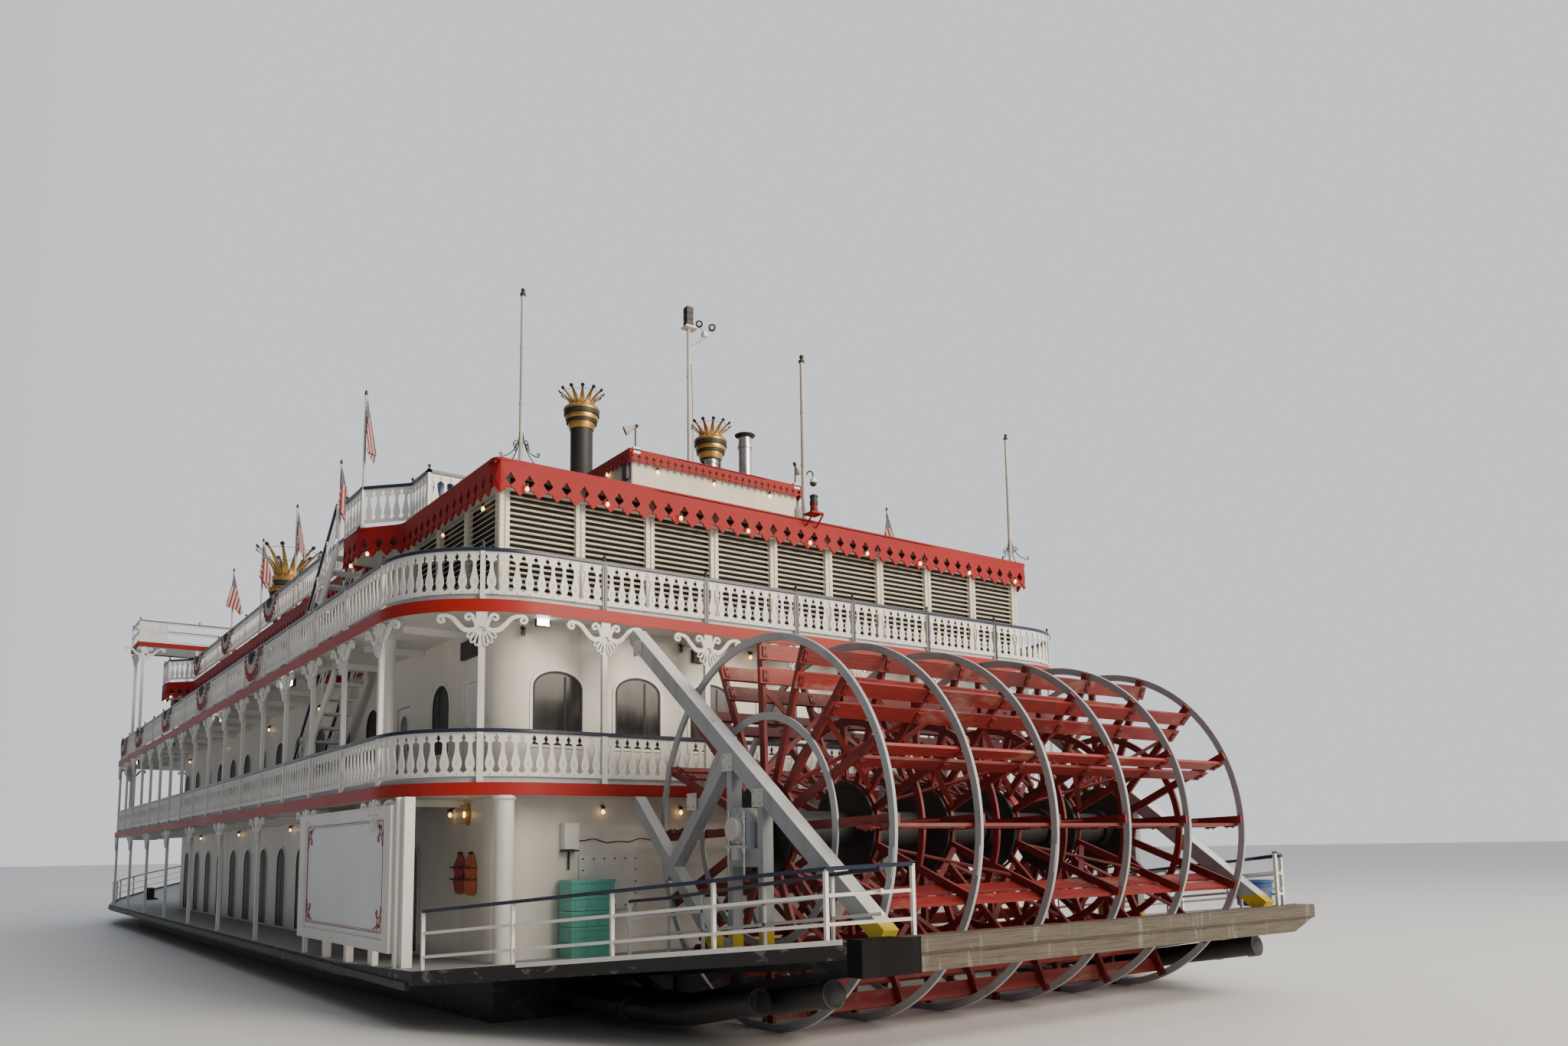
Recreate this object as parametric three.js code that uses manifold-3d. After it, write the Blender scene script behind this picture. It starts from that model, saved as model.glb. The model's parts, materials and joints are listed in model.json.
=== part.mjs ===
// Sternwheel excursion paddle boat as a half-size model, in millimetres.
// +X points to the bow, +Y to port and +Z up. The origin is on the flat bottom,
// at mid length on the centreline.
import * as THREE from 'three';
import { mergeVertices } from 'three/addons/utils/BufferGeometryUtils.js';
import Module from 'manifold-3d';

const wasm = await Module();
wasm.setup();

// Gaps: between seated pieces, round pins, and round swinging leaves.
const seat = 0.3;
const pinGap = 0.8;

// Hull and main deck.
const length = 35000;
const sternX = -length / 2;
const bowX = length / 2;
const halfBeam = 4880;
const mainDeckZ = 1460;
const mainDeckThick = 130;
const transomX = -13375;
const rakeStartX = -9000;
const transomBottomZ = 950;
const hullHalfBeam = 4300;
const sheerStartX = -11000;
const bowSheerX = 9000;
const quarterX = -13425;
const quarterZ = 1540;
const beamTopZ = 1920;
const bowDeckZ = 2150;

// Upper decks: aft edge, forward edge, level of the top face and thickness.
const deckAftX = -13425;
const deckForeX = 10225;
const deckCorner = 1250;
const deckForeCorner = 1200;
const deckThick = 125;
const deck2Z = 3260;
const deck3Z = 5055;
const railHeight = 525;

// Houses.
const houseAftX = -13015;
const houseForeX = 5600;
const houseHalf = 3950;
const houseCorner = 350;
const wall = 60;

// Roof over deck 3.
const roofZ = 6605;
const roofThick = 90;
const fasciaDrop = 375;
const fasciaThick = 40;
const roofAftX = -13075;
const roofHalf = 4030;
const roofForeX = 8000;
// Porches that widen the roof at the head of each roof stair: aft and forward ends.
const porches = [[-10125, -8975], [4725, 5980]];
const porchHalf = 4500;
const louvreAftX = -12945;
const louvreForeX = -10240;
const louvreHalf = 3925;

// Paddle wheel.
const wheelX = -15410;
const wheelZ = 2755;
const wheelR = 1770;
const armCount = 16;
const armPhase = -1.5;
const frameYs = [-2380, -1428, -476, 476, 1428, 2380];
const trussY = 2600;
const trussBar = 150;

const paint = {
  white: [0xe9e7e1, 0.5, 0],
  red: [0xb3262b, 0.45, 0],
  boardRed: [0x9c2b2c, 0.65, 0],
  black: [0x17181a, 0.6, 0],
  grey: [0x8f979e, 0.5, 0.1],
  tan: [0x8a7861, 0.8, 0],
  cream: [0xe4dcc6, 0.55, 0],
  gold: [0xb08a35, 0.35, 0.8],
  steel: [0xb9bbbd, 0.35, 0.9],
  deck: [0x6d7378, 0.8, 0],
};

const boat = new THREE.Group();
boat.name = 'sternwheel_paddle_boat';

// A closed solid from a three.js geometry.
function solid(geometry) {
  const bare = geometry.index ? geometry.toNonIndexed() : geometry;
  bare.deleteAttribute('normal');
  bare.deleteAttribute('uv');
  const merged = mergeVertices(bare, 1e-3);
  return new wasm.Manifold(new wasm.Mesh({
    numProp: 3,
    vertProperties: new Float32Array(merged.attributes.position.array),
    triVerts: new Uint32Array(merged.index.array),
  }));
}

// A box between two opposite corners.
function box(x0, x1, y0, y1, z0, z1) {
  const g = new THREE.BoxGeometry(x1 - x0, y1 - y0, z1 - z0);
  g.translate((x0 + x1) / 2, (y0 + y1) / 2, (z0 + z1) / 2);
  return solid(g);
}

// A plan outline of [x, y] points carried up from z0 to z1.
function plan(points, z0, z1) {
  const shape = new THREE.Shape(points.map(([x, y]) => new THREE.Vector2(x, y)));
  const g = new THREE.ExtrudeGeometry(shape, { depth: z1 - z0, bevelEnabled: false });
  g.translate(0, 0, z0);
  return solid(g);
}

// A side outline of [x, z] points carried across from y0 to y1.
function profile(points, y0, y1) {
  const shape = new THREE.Shape(points.map(([x, z]) => new THREE.Vector2(x, z)));
  const g = new THREE.ExtrudeGeometry(shape, { depth: y1 - y0, bevelEnabled: false });
  g.rotateX(Math.PI / 2);
  g.translate(0, y1, 0);
  return solid(g);
}

// A lattice: a side outline with holes, both of [x, z] points, from y0 to y1.
function lattice(points, holes, y0, y1) {
  const board = profile(points, y0, y1);
  if (holes.length === 0) return board;
  return board.subtract(join(holes.map((hole) => profile(hole, y0 - 10, y1 + 10))));
}

// The same lattice turned to stand across the boat, with [y, z] points, from x0 to x1.
function crossLattice(points, holes, x0, x1) {
  return lattice(points, holes, -x1, -x0).rotate([0, 0, 90]);
}

// An end-on outline of [y, z] points carried along from x0 to x1.
function endOn(points, x0, x1) {
  const shape = new THREE.Shape(points.map(([y, z]) => new THREE.Vector2(y, z)));
  const g = new THREE.ExtrudeGeometry(shape, { depth: x1 - x0, bevelEnabled: false });
  g.rotateX(Math.PI / 2);
  g.rotateZ(Math.PI / 2);
  g.translate(x0, 0, 0);
  return solid(g);
}

// A bar of the given width and depth between two points.
function bar(a, b, width, depth, sides = 4) {
  const from = new THREE.Vector3(...a);
  const to = new THREE.Vector3(...b);
  const run = from.distanceTo(to);
  const g = sides === 4
    ? new THREE.BoxGeometry(width, run, depth)
    : new THREE.CylinderGeometry(width / 2, width / 2, run, sides);
  const turn = new THREE.Quaternion().setFromUnitVectors(
    new THREE.Vector3(0, 1, 0), to.clone().sub(from).normalize());
  g.applyQuaternion(turn);
  const middle = from.add(to).multiplyScalar(0.5);
  g.translate(middle.x, middle.y, middle.z);
  return solid(g);
}

// A flat bar lying in a plane of constant y, between two [x, z] points.
function sideBar(a, b, width, y0, y1) {
  const dx = b[0] - a[0];
  const dz = b[1] - a[1];
  const run = Math.hypot(dx, dz);
  const nx = -dz / run * width / 2;
  const nz = dx / run * width / 2;
  return profile([
    [a[0] + nx, a[1] + nz], [b[0] + nx, b[1] + nz],
    [b[0] - nx, b[1] - nz], [a[0] - nx, a[1] - nz],
  ], y0, y1);
}

// A turned piece: [radius, height] pairs about a vertical line.
function turned(pairs, x, y, z, sides = 16) {
  const points = pairs.map(([r, h]) => new THREE.Vector2(r, h));
  const g = new THREE.LatheGeometry(points, sides);
  g.rotateX(Math.PI / 2);
  g.translate(x, y, z);
  return solid(g);
}

function join(parts) {
  let list = parts.slice();
  while (list.length > 1) {
    const next = [];
    for (let i = 0; i < list.length; i += 2) {
      next.push(i + 1 < list.length ? list[i].add(list[i + 1]) : list[i]);
    }
    list = next;
  }
  return list[0];
}

function mirrored(part) {
  return part.mirror([0, 1, 0]);
}

function piece(name, part, [color, roughness, metalness]) {
  const mesh = part.getMesh();
  const g = new THREE.BufferGeometry();
  g.setAttribute('position', new THREE.BufferAttribute(mesh.vertProperties, 3));
  g.setIndex(new THREE.BufferAttribute(mesh.triVerts, 1));
  g.computeVertexNormals();
  const made = new THREE.Mesh(g, new THREE.MeshStandardMaterial({ color, roughness, metalness }));
  made.name = name;
  boat.add(made);
}

function pair(name, part, finish) {
  piece(`${name}_port`, part, finish);
  piece(`${name}_starboard`, mirrored(part), finish);
}

// Points of an arc about a centre, from one angle to another in degrees.
function arc(cx, cy, r, from, to, steps) {
  return Array.from({ length: steps + 1 }, (_, i) => {
    const t = THREE.MathUtils.degToRad(from + (to - from) * i / steps);
    return [cx + r * Math.cos(t), cy + r * Math.sin(t)];
  });
}

// Level of the main deck's top face along the boat.
function deckTop(x) {
  if (x < quarterX) {
    return quarterZ + (beamTopZ - quarterZ) * (quarterX - x) / (quarterX - sternX);
  }
  if (x < sheerStartX) {
    return mainDeckZ + (quarterZ - mainDeckZ) * (sheerStartX - x) / (sheerStartX - quarterX);
  }
  if (x > bowSheerX) {
    return mainDeckZ + (bowDeckZ - mainDeckZ) * ((x - bowSheerX) / (bowX - bowSheerX)) ** 2;
  }
  return mainDeckZ;
}

const sheerStations = [sternX, quarterX, sheerStartX, bowSheerX, 11500, 13500, 15500, bowX];

// A slab that follows the deck's sheer, between two offsets from its top face.
function sheerSlab(low, high, halfWidth) {
  const top = sheerStations.map((x) => [x, deckTop(x) + high]);
  const bottom = sheerStations.map((x) => [x, deckTop(x) + low]).reverse();
  return profile([...top, ...bottom], -halfWidth, halfWidth);
}

const overDeck = sheerSlab(-2500, seat, 6000);

// Hull: a barge body with raked ends, sides turned in at the bow.
function makeHull() {
  // half beam by station
  const planPort = [
    [transomX, 4100], [-9000, hullHalfBeam], [8500, hullHalfBeam], [11500, 3900],
    [14000, 2950], [16000, 1700], [17150, 500],
  ];
  const outline = [...planPort, ...planPort.map(([x, y]) => [x, -y]).reverse()];
  const side = profile([
    [transomX, transomBottomZ], [-12000, 560], [rakeStartX, 0], [9500, 0],
    [13000, 420], [15500, 1050], [17300, 2100], [17300, 3000], [transomX, 3000],
  ], -6000, 6000);
  let body = plan(outline, 0, 3000).intersect(side);
  body = body.subtract(sheerSlab(-mainDeckThick - seat, 2500, 6000));
  for (const y of [-1500, 1500]) {
    body = body.subtract(bar([rudderX, y, 300], [rudderX, y, 900], 2 * (stockR + pinGap), 0, 24));
  }
  piece('hull', body, paint.black);
}

// Rudders, one each side of the centreline under the after rake.
const rudderX = -12250;
const rudderY = 1500;
const stockR = 45;

function makeRudders() {
  const blade = profile([
    [rudderX - 520, 70], [rudderX + 270, 70], [rudderX + 270, 460], [rudderX - 520, 560],
  ], rudderY - 22, rudderY + 22);
  const stock = bar([rudderX, rudderY, 200], [rudderX, rudderY, 880], 2 * stockR, 0, 24);
  pair('rudder', blade.add(stock), paint.black);
}

// Main deck plate over the hull, with its guards out to full beam and a flat hatch forward.
const hatchX = 7500;
const hatchHalfLong = 600;
const hatchHalfWide = 700;
const hatchRise = 40;

function makeMainDeck() {
  const port = [
    [quarterX, halfBeam], [9500, halfBeam], [11500, 4500], [13500, 3650],
    [15500, 2350], [16900, 1000], [bowX, 300],
  ];
  const outline = [...port, ...port.map(([x, y]) => [x, -y]).reverse()];
  const plate = sheerSlab(-mainDeckThick, 0, 6000).intersect(plan(outline, 0, 3500));
  const hatch = box(
    hatchX - hatchHalfLong, hatchX + hatchHalfLong, -hatchHalfWide, hatchHalfWide,
    mainDeckZ - mainDeckThick / 2, mainDeckZ + hatchRise);
  piece('main_deck', plate.add(hatch), paint.deck);
}

// Fantail: a deck each side of the wheel, narrowing aft to the stern beam.
const fantailInnerY = 2490;
const beamHalf = 2950;
const beamThick = 150;

function makeFantail() {
  const outline = [
    [quarterX - seat, fantailInnerY], [quarterX - seat, halfBeam],
    [sternX + beamThick + seat, beamHalf], [sternX + beamThick + seat, fantailInnerY],
  ];
  const plate = sheerSlab(-mainDeckThick, 0, 6000).intersect(plan(outline, 0, 3500));
  pair('fantail', plate, paint.deck);

  const beamAft = sternX;
  const beamFore = sternX + beamThick;
  const upper = box(beamAft, beamFore, -beamHalf - 120, beamHalf + 120, beamTopZ - 130, beamTopZ);
  const lower = endOn([
    [-beamHalf - 120, beamTopZ - 129], [-beamHalf + 250, beamTopZ - 260],
    [beamHalf - 250, beamTopZ - 260], [beamHalf + 120, beamTopZ - 129],
  ], beamAft + 20, beamFore);
  piece('stern_beam', upper.add(lower), paint.tan);
}

// Struts and exhaust pipes under each side of the fantail.
function makeUnderFantail() {
  const y0 = 2600;
  const y1 = 2700;
  const topZ = (x) => deckTop(x) - mainDeckThick - seat;
  const foreX = transomX - 60;
  const aftX = sternX + beamThick + 40;
  const chord = sideBar([foreX, 1010], [aftX, topZ(aftX) - 60], 90, y0, y1);
  const top = profile([
    [foreX, topZ(foreX)], [foreX, topZ(foreX) - 80],
    [aftX, topZ(aftX) - 80], [aftX, topZ(aftX)],
  ], y0, y1);
  const struts = [-14350, -15350].map((x) => box(x - 40, x + 40, y0, y1, 1090 + (foreX - x) * 0.13, topZ(x) - 30));
  const brace = sideBar([-13500, 1350], [-14350, 1130], 60, y0, y1);
  const pipes = [2950, 3400].map((y, i) => join([
    bar([foreX, y, 1180], [-14500 - 250 * i, y, 1210], 210, 0, 12),
    bar([-14400 - 250 * i, y, 1210], [-14850 - 250 * i, y - 160, 1190], 210, 0, 12),
  ]));
  const hanger = box(-14140, -14060, y0, 3450, 1180, 1260);
  pair('fantail_strut', join([chord, top, ...struts, brace, ...pipes, hanger]), paint.black);
}

// Opening in deck 3 over the stair on the port side: aft, fore, inner and outer edge.
const stairWell = [-8870, -7700, 4030, 4510];

// Plan outline with round corners, inset by d. It runs anticlockwise.
function deckOutline(aft, fore, half, cornerAft, cornerFore, d = 0, steps = 6) {
  const ra = Math.max(cornerAft - d, 1);
  const rf = Math.max(cornerFore - d, 1);
  const a = aft + d;
  const f = fore - d;
  const h = half - d;
  return [
    ...arc(a + ra, -h + ra, ra, 180, 270, steps),
    ...arc(f - rf, -h + rf, rf, 270, 360, steps),
    ...arc(f - rf, h - rf, rf, 0, 90, steps),
    ...arc(a + ra, h - ra, ra, 90, 180, steps),
  ];
}

function deckPlate(top) {
  return plan(deckOutline(deckAftX, deckForeX, halfBeam, deckCorner, deckForeCorner), top - deckThick, top);
}

// Deck 3 is laid in three plates, with seams at the aft, fore and inner edge of the one round the stair well.
const wellPlate = { aft: -9070, fore: -5000, inner: 3400 };

function deckPlates3() {
  const [low, high] = [deck3Z - 2 * deckThick, deck3Z + deckThick];
  const { aft, fore, inner } = wellPlate;
  const whole = deckPlate(deck3Z).subtract(box(...stairWell, low, high));
  const outer = halfBeam + seat;
  const abaft = box(deckAftX - seat, aft - seat, -outer, outer, low, high);
  const round = box(aft, fore, inner, outer, low, high);
  piece('deck_3_aft', whole.intersect(abaft), paint.red);
  piece('deck_3_stair_well', whole.intersect(round), paint.red);
  const rest = box(deckAftX - seat, aft, -outer, outer, low, high)
    .add(box(aft - seat, fore + seat, inner - seat, outer, low, high));
  piece('deck_3', whole.subtract(rest), paint.red);
}

// A ring wall of a house between two levels.
function ringWall(aft, fore, half, corner, z0, z1, steps = 4) {
  const outer = plan(deckOutline(aft, fore, half, corner, corner, 0, steps), z0, z1);
  const inner = plan(deckOutline(aft, fore, half, corner, corner, wall, steps), z0 - 10, z1 + 10);
  return outer.subtract(inner);
}

// Arched window in an aft or forward wall, centred on y.
function archedEnd(x0, x1, y, width, sill, apex) {
  const rise = width * 0.32;
  const top = Array.from({ length: 9 }, (_, i) => {
    const t = Math.PI * i / 8;
    return [y + width / 2 * Math.cos(t), apex - rise + rise * Math.sin(t)];
  });
  return endOn([[y - width / 2, sill], [y + width / 2, sill], ...top], x0, x1);
}

// Doorways in the side walls of the deck 2 house.
const doorX = -10150;
const doorWide = 470;
const doorSill = 35;
const doorHigh = 1080;
const leafThick = 30;
const leafPinR = 9;

function doorway(y0, y1, z) {
  return box(doorX - doorWide / 2, doorX + doorWide / 2, y0, y1, z + doorSill, z + doorHigh);
}

function makeHouses() {
  let lower = ringWall(houseAftX, houseForeX, houseHalf, houseCorner, mainDeckZ - 60, deck2Z - deckThick - seat);
  lower = lower.subtract(overDeck);
  piece('house_main_deck', lower, paint.white);

  let upper = ringWall(houseAftX, houseForeX, houseHalf, houseCorner, deck2Z + seat, deck3Z - deckThick - seat);
  for (const y of [-3295, -2350, -1410, -470, 470, 1410, 2350, 3295]) {
    upper = upper.subtract(archedEnd(houseAftX - 50, houseAftX + wall + 50, y, 555, deck2Z + 415, 4445));
  }
  const pinX = doorX + doorWide / 2 - 30;
  for (const side of [-1, 1]) {
    const y = side * (houseHalf - wall / 2);
    upper = upper.subtract(doorway(y - wall, y + wall, deck2Z));
    upper = upper.subtract(bar([pinX, y, deck2Z + 12], [pinX, y, deck2Z + doorHigh + 22], 2 * (leafPinR + 0.8), 0, 16));
  }
  piece('house_deck_2', upper, paint.white);

  const leafY = houseHalf - wall / 2;
  const leaf = box(
    doorX - doorWide / 2 + 12, pinX + 15,
    leafY - leafThick / 2, leafY + leafThick / 2,
    deck2Z + doorSill + 8, deck2Z + doorHigh - 8);
  const pin = bar([pinX, leafY, deck2Z + 14], [pinX, leafY, deck2Z + doorHigh + 20], 2 * leafPinR, 0, 16);
  pair('cabin_door', leaf.add(pin), paint.white);
}

// Louvred enclosure at the after end of deck 3: a lattice of posts and slats on three sides.
const louvrePost = 60;
const louvreBays = 9;
const louvreSideBays = 3;
const louvreRows = 4;

// Openings between the slats of one side, from position a along it over a number of bays.
function slatHoles(a, pitch, bays, z0, z1) {
  const rowPitch = (z1 - z0 - 160) / louvreRows;
  const holes = [];
  for (let i = 0; i < bays; i += 1) {
    for (let k = 0; k < louvreRows; k += 1) {
      const p0 = a + i * pitch + louvrePost / 2;
      const p1 = a + (i + 1) * pitch - louvrePost / 2;
      const low = z0 + 80 + k * rowPitch + rowPitch * 0.3;
      const high = z0 + 80 + (k + 1) * rowPitch - rowPitch * 0.3;
      holes.push([[p0, low], [p1, low], [p1, high], [p0, high]]);
    }
  }
  return holes;
}

function makeLouvres() {
  const z0 = deck3Z + seat;
  const z1 = roofZ - roofThick - seat;
  const half = louvreHalf;
  const pitch = (2 * half - louvrePost) / louvreBays;
  const aft = crossLattice(
    [[-half, z0], [half, z0], [half, z1], [-half, z1]],
    slatHoles(-half + louvrePost / 2, pitch, louvreBays, z0, z1),
    louvreAftX, louvreAftX + louvrePost);
  const sidePitchX = (louvreForeX - louvreAftX - louvrePost) / louvreSideBays;
  const side = lattice(
    [[louvreAftX, z0], [louvreForeX, z0], [louvreForeX, z1], [louvreAftX, z1]],
    slatHoles(louvreAftX + louvrePost / 2, sidePitchX, louvreSideBays, z0, z1),
    half - louvrePost, half);
  piece('louvre_enclosure', join([aft, side, mirrored(side)]), paint.cream);
}

const house3AftX = -10240;
const house3ForeX = 7600;
const house3Half = 3800;

function makeHouse3() {
  const shell = ringWall(house3AftX, house3ForeX, house3Half, 80, deck3Z + seat, roofZ - roofThick - seat, 2);
  piece('house_deck_3', shell, paint.white);
}

// Roof plate with its deep red fascia. The outline is inset by d.
function roofOutline(d) {
  const half = roofHalf - d;
  const port = [[roofAftX + d, half]];
  for (const [aft, fore] of porches) {
    port.push([aft + d, half], [aft + d, porchHalf - d], [fore - d, porchHalf - d], [fore - d, half]);
  }
  port.push([roofForeX - d, half]);
  return [...port, ...port.map(([x, y]) => [x, -y]).reverse()];
}

function makeRoof() {
  const plate = plan(roofOutline(0), roofZ - roofThick, roofZ);
  const fascia = plan(roofOutline(0), roofZ - fasciaDrop, roofZ - 20)
    .subtract(plan(roofOutline(fasciaThick), roofZ - fasciaDrop - 10, roofZ));
  piece('roof', plate.add(fascia), paint.red);
}

// Small house on the roof, and its own roof.
const cabinAftX = -11100;
const cabinForeX = 1000;
const cabinHalf = 1360;
const cabinTopZ = 7750;
const cabinRoofThick = 60;
const cabinEave = 70;
const cabinFascia = 25;
const cabinDrop = 190;

function makeRoofHouse() {
  piece('roof_house', ringWall(cabinAftX, cabinForeX, cabinHalf, 10, roofZ + seat, cabinTopZ - seat, 1), paint.cream);
  const slab = (out, low, high) => box(
    cabinAftX - out, cabinForeX + out, -cabinHalf - out, cabinHalf + out, cabinTopZ + low, cabinTopZ + high);
  const top = slab(cabinEave, 0, cabinRoofThick);
  const skirt = slab(cabinEave, cabinRoofThick - cabinDrop, cabinRoofThick / 2)
    .subtract(slab(cabinEave - cabinFascia, -cabinDrop, 0));
  piece('roof_house_top', top.add(skirt), paint.red);
}

// Pilothouse and the bridge wings beside it.
const pilotAftX = 5500;
const pilotForeX = 7700;
const pilotHalf = 1400;
const bridgeZ = 7700;
const pilotTopZ = 8950;
const wingAftX = 6430;
const wingForeX = 7730;

function makePilothouse() {
  let shell = ringWall(pilotAftX, pilotForeX, pilotHalf, 10, roofZ + seat, pilotTopZ - seat, 1);
  for (const y of [-900, 0, 900]) {
    shell = shell.subtract(box(pilotAftX - 50, pilotForeX + 50, y - 370, y + 370, bridgeZ + 450, pilotTopZ - 180));
  }
  for (const x of [0.17, 0.5, 0.83].map((f) => pilotAftX + f * (pilotForeX - pilotAftX))) {
    shell = shell.subtract(box(x - 330, x + 330, -pilotHalf - 50, pilotHalf + 50, bridgeZ + 450, pilotTopZ - 180));
  }
  piece('pilothouse', shell, paint.white);
  const rise = 350;
  const low = deckOutline(pilotAftX - 250, pilotForeX + 250, pilotHalf + 250, 10, 10, 0, 1);
  const slab = plan(low, pilotTopZ, pilotTopZ + 80);
  const dome = turned([[0, 0], [900, 0], [620, rise * 0.7], [160, rise], [0, rise]], 0, 0, 0, 12);
  piece('pilothouse_roof', slab.add(dome.translate([(pilotAftX + pilotForeX) / 2, 0, pilotTopZ + 60])), paint.red);
}

const wingInnerY = 3600;
const wingPostY = 4740;

function makeBridgeWings() {
  const [x0, x1, y0, y1] = [wingAftX, wingForeX, pilotHalf + seat, halfBeam];
  const post = 60;
  const rail = 40;
  const railBoard = (a0, a1, along) => {
    const low = bridgeZ + 60;
    const high = bridgeZ + railHeight;
    const outline = [[a0, bridgeZ - 40], [a1, bridgeZ - 40], [a1, high], [a0, high]];
    const holes = [[low, low + 190], [low + 230, high - rail]].map(([h0, h1]) => (
      [[a0 + post, h0], [a1 - post, h0], [a1 - post, h1], [a0 + post, h1]]));
    return along ? lattice(outline, holes, y1 - rail, y1) : crossLattice(outline, holes, x0, x0 + rail);
  };
  const across = railBoard(y0, y1, false);
  const parts = [
    box(x0, x1, y0, y1, bridgeZ - 75, bridgeZ),
    railBoard(x0, x1, true), across, across.translate([x1 - x0 - rail, 0, 0]),
  ];
  // The outer posts stand on deck 3 inside its railing, and the inner ones on the roof.
  for (const x of [x0, x1 - post]) {
    parts.push(box(x, x + post, wingPostY, wingPostY + post, deck3Z + seat, bridgeZ - 40));
    parts.push(box(x, x + post, wingInnerY, wingInnerY + post, roofZ + seat, bridgeZ - 40));
  }
  pair('bridge_wing', join(parts), paint.white);
}

// Posts and railings along the sides.
const sidePitch = 1320;
const sideBays = 16;
const sideStartX = -12130;
const sideEndX = sideStartX + sideBays * sidePitch;
const sidePosts = Array.from({ length: sideBays + 1 }, (_, i) => sideStartX + i * sidePitch);
const railY = halfBeam - 50;
const postHalf = 30;
const panelLift = 50;
const finial = 70;
const boardHalf = 15;

// A railing of posts and a board panel along one side, standing at level z.
function railRun(posts, y, z) {
  const low = z + panelLift;
  const high = z + railHeight;
  const outline = [];
  for (const x of posts) {
    outline.push([x - 20, low], [x - 20, z + seat], [x + 20, z + seat], [x + 20, low]);
  }
  for (const x of posts.slice().reverse()) {
    outline.push([x + 20, high], [x + 20, high + finial], [x - 20, high + finial], [x - 20, high]);
  }
  return profile(outline, y - boardHalf, y + boardHalf);
}

// Half of a fan bracket beside a post, from the post's edge: distance along and drop.
const bracketPoints = [[30, 360], [150, 120], [430, 60]];

// Posts with brackets under a header, and a board railing where the deck has one.
function colonnade(posts, z0, z1, railed) {
  const top = z1 - seat;
  const foot = z0 + seat;
  const x0 = sideStartX - postHalf;
  const x1 = sideEndX + postHalf;
  const holes = [];
  const outline = [[x1, top], [x0, top]];
  for (let i = 0; i < posts.length; i += 1) {
    const x = posts[i];
    outline.push([x - postHalf, foot], [x + postHalf, foot]);
    if (i === posts.length - 1) break;
    const next = posts[i + 1];
    const arch = [
      ...bracketPoints.map(([d, drop]) => [x + postHalf + (d === 30 ? 0 : d), top - drop]),
      ...bracketPoints.map(([d, drop]) => [next - postHalf - (d === 30 ? 0 : d), top - drop]).reverse(),
    ];
    if (railed) {
      const sill = z0 + railHeight;
      holes.push([[x + postHalf, sill], ...arch, [next - postHalf, sill]]);
      outline.push([x + postHalf, z0 + panelLift], [next - postHalf, z0 + panelLift]);
    } else {
      outline.push(...arch);
    }
  }
  return lattice(outline, holes, railY - 25, railY + 25);
}

// Forward half of a deck's railing: a board round the fore corner, and posts across the front.
const foreMiddleY = 20;
const forePostYs = [435, 1690, 2945];

function foreRail(z, postTop, half) {
  const turn = (d) => [
    [sideEndX - 5, halfBeam - d],
    ...deckOutline(deckAftX, deckForeX, halfBeam, deckCorner, deckForeCorner, d, 4).slice(10, 15).reverse(),
    [deckForeX - d, foreMiddleY],
  ];
  const board = plan([...turn(65), ...turn(35).reverse()], z + panelLift, z + railHeight);
  const posts = forePostYs.map((y) => box(
    deckForeX - 50 - half, deckForeX - 50 + half, y - half, y + half, z + seat, postTop));
  return join([board, ...posts]);
}

function makeSides() {
  const soffitZ = deck3Z - deckThick;
  const wideSpaced = sidePosts.filter((x, i) => i % 2 === 0);
  const lower = colonnade(wideSpaced, mainDeckZ, deck2Z - deckThick, false);
  pair('side_main_deck', lower.subtract(overDeck), paint.white);
  pair('side_deck_2', colonnade(sidePosts, deck2Z, soffitZ, true).add(foreRail(deck2Z, soffitZ - seat, postHalf)), paint.white);
  const rail3 = railRun(sidePosts, railY, deck3Z).add(foreRail(deck3Z, deck3Z + railHeight + finial, 20));
  const link = box(
    sideStartX - 45, sideStartX - 15, railY - boardHalf, railY + boardHalf, deck3Z + panelLift, deck3Z + railHeight);
  piece('rail_deck_3_port', join([rail3, link, sternRail(deck3Z, false)]), paint.white);
  piece('rail_deck_3_starboard', mirrored(rail3), paint.white);
}

// Roof railing along a path of [x, y] points with square corners, and flagpoles standing in it.
const flagTopZ = 8325;
const flagpoleR = 22;

function roofRail(path, poles) {
  const [low, high] = [roofZ + panelLift, roofZ + railHeight];
  const parts = [];
  for (let i = 0; i + 1 < path.length; i += 1) {
    const [[ax, ay], [bx, by]] = [path[i], path[i + 1]];
    const [x0, x1] = [Math.min(ax, bx), Math.max(ax, bx)];
    const [y0, y1] = [Math.min(ay, by), Math.max(ay, by)];
    parts.push(box(x0 - boardHalf, x1 + boardHalf, y0 - boardHalf, y1 + boardHalf, low, high));
    const bays = Math.max(1, Math.round(Math.max(x1 - x0, y1 - y0) / sidePitch));
    for (let k = 0; k <= bays; k += 1) {
      const [x, y] = [ax + (bx - ax) * k / bays, ay + (by - ay) * k / bays];
      parts.push(box(x - 20, x + 20, y - 20, y + 20, roofZ + seat, high + finial));
    }
  }
  for (const [x, y] of poles) {
    parts.push(bar([x, y, roofZ + seat], [x, y, flagTopZ], 2 * flagpoleR, 0, 6));
  }
  return join(parts);
}

const roofRailY = roofHalf - 30;
const porchRailY = porchHalf - 30;
const flagpoles = [-7375, -4825, -2275, 275].map((x) => [x, roofRailY]);
const roofRailAft = [
  [-11125, cabinHalf + cabinEave + 20], [-11125, roofRailY], [porches[0][0] + 30, roofRailY],
  [porches[0][0] + 30, porchRailY], [porches[0][1] - 30, porchRailY],
];
const roofRailFore = [
  [-7430, roofRailY], [porches[1][0] + 30, roofRailY], [porches[1][0] + 30, porchRailY],
  [porches[1][1] - 30, porchRailY],
];

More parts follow.
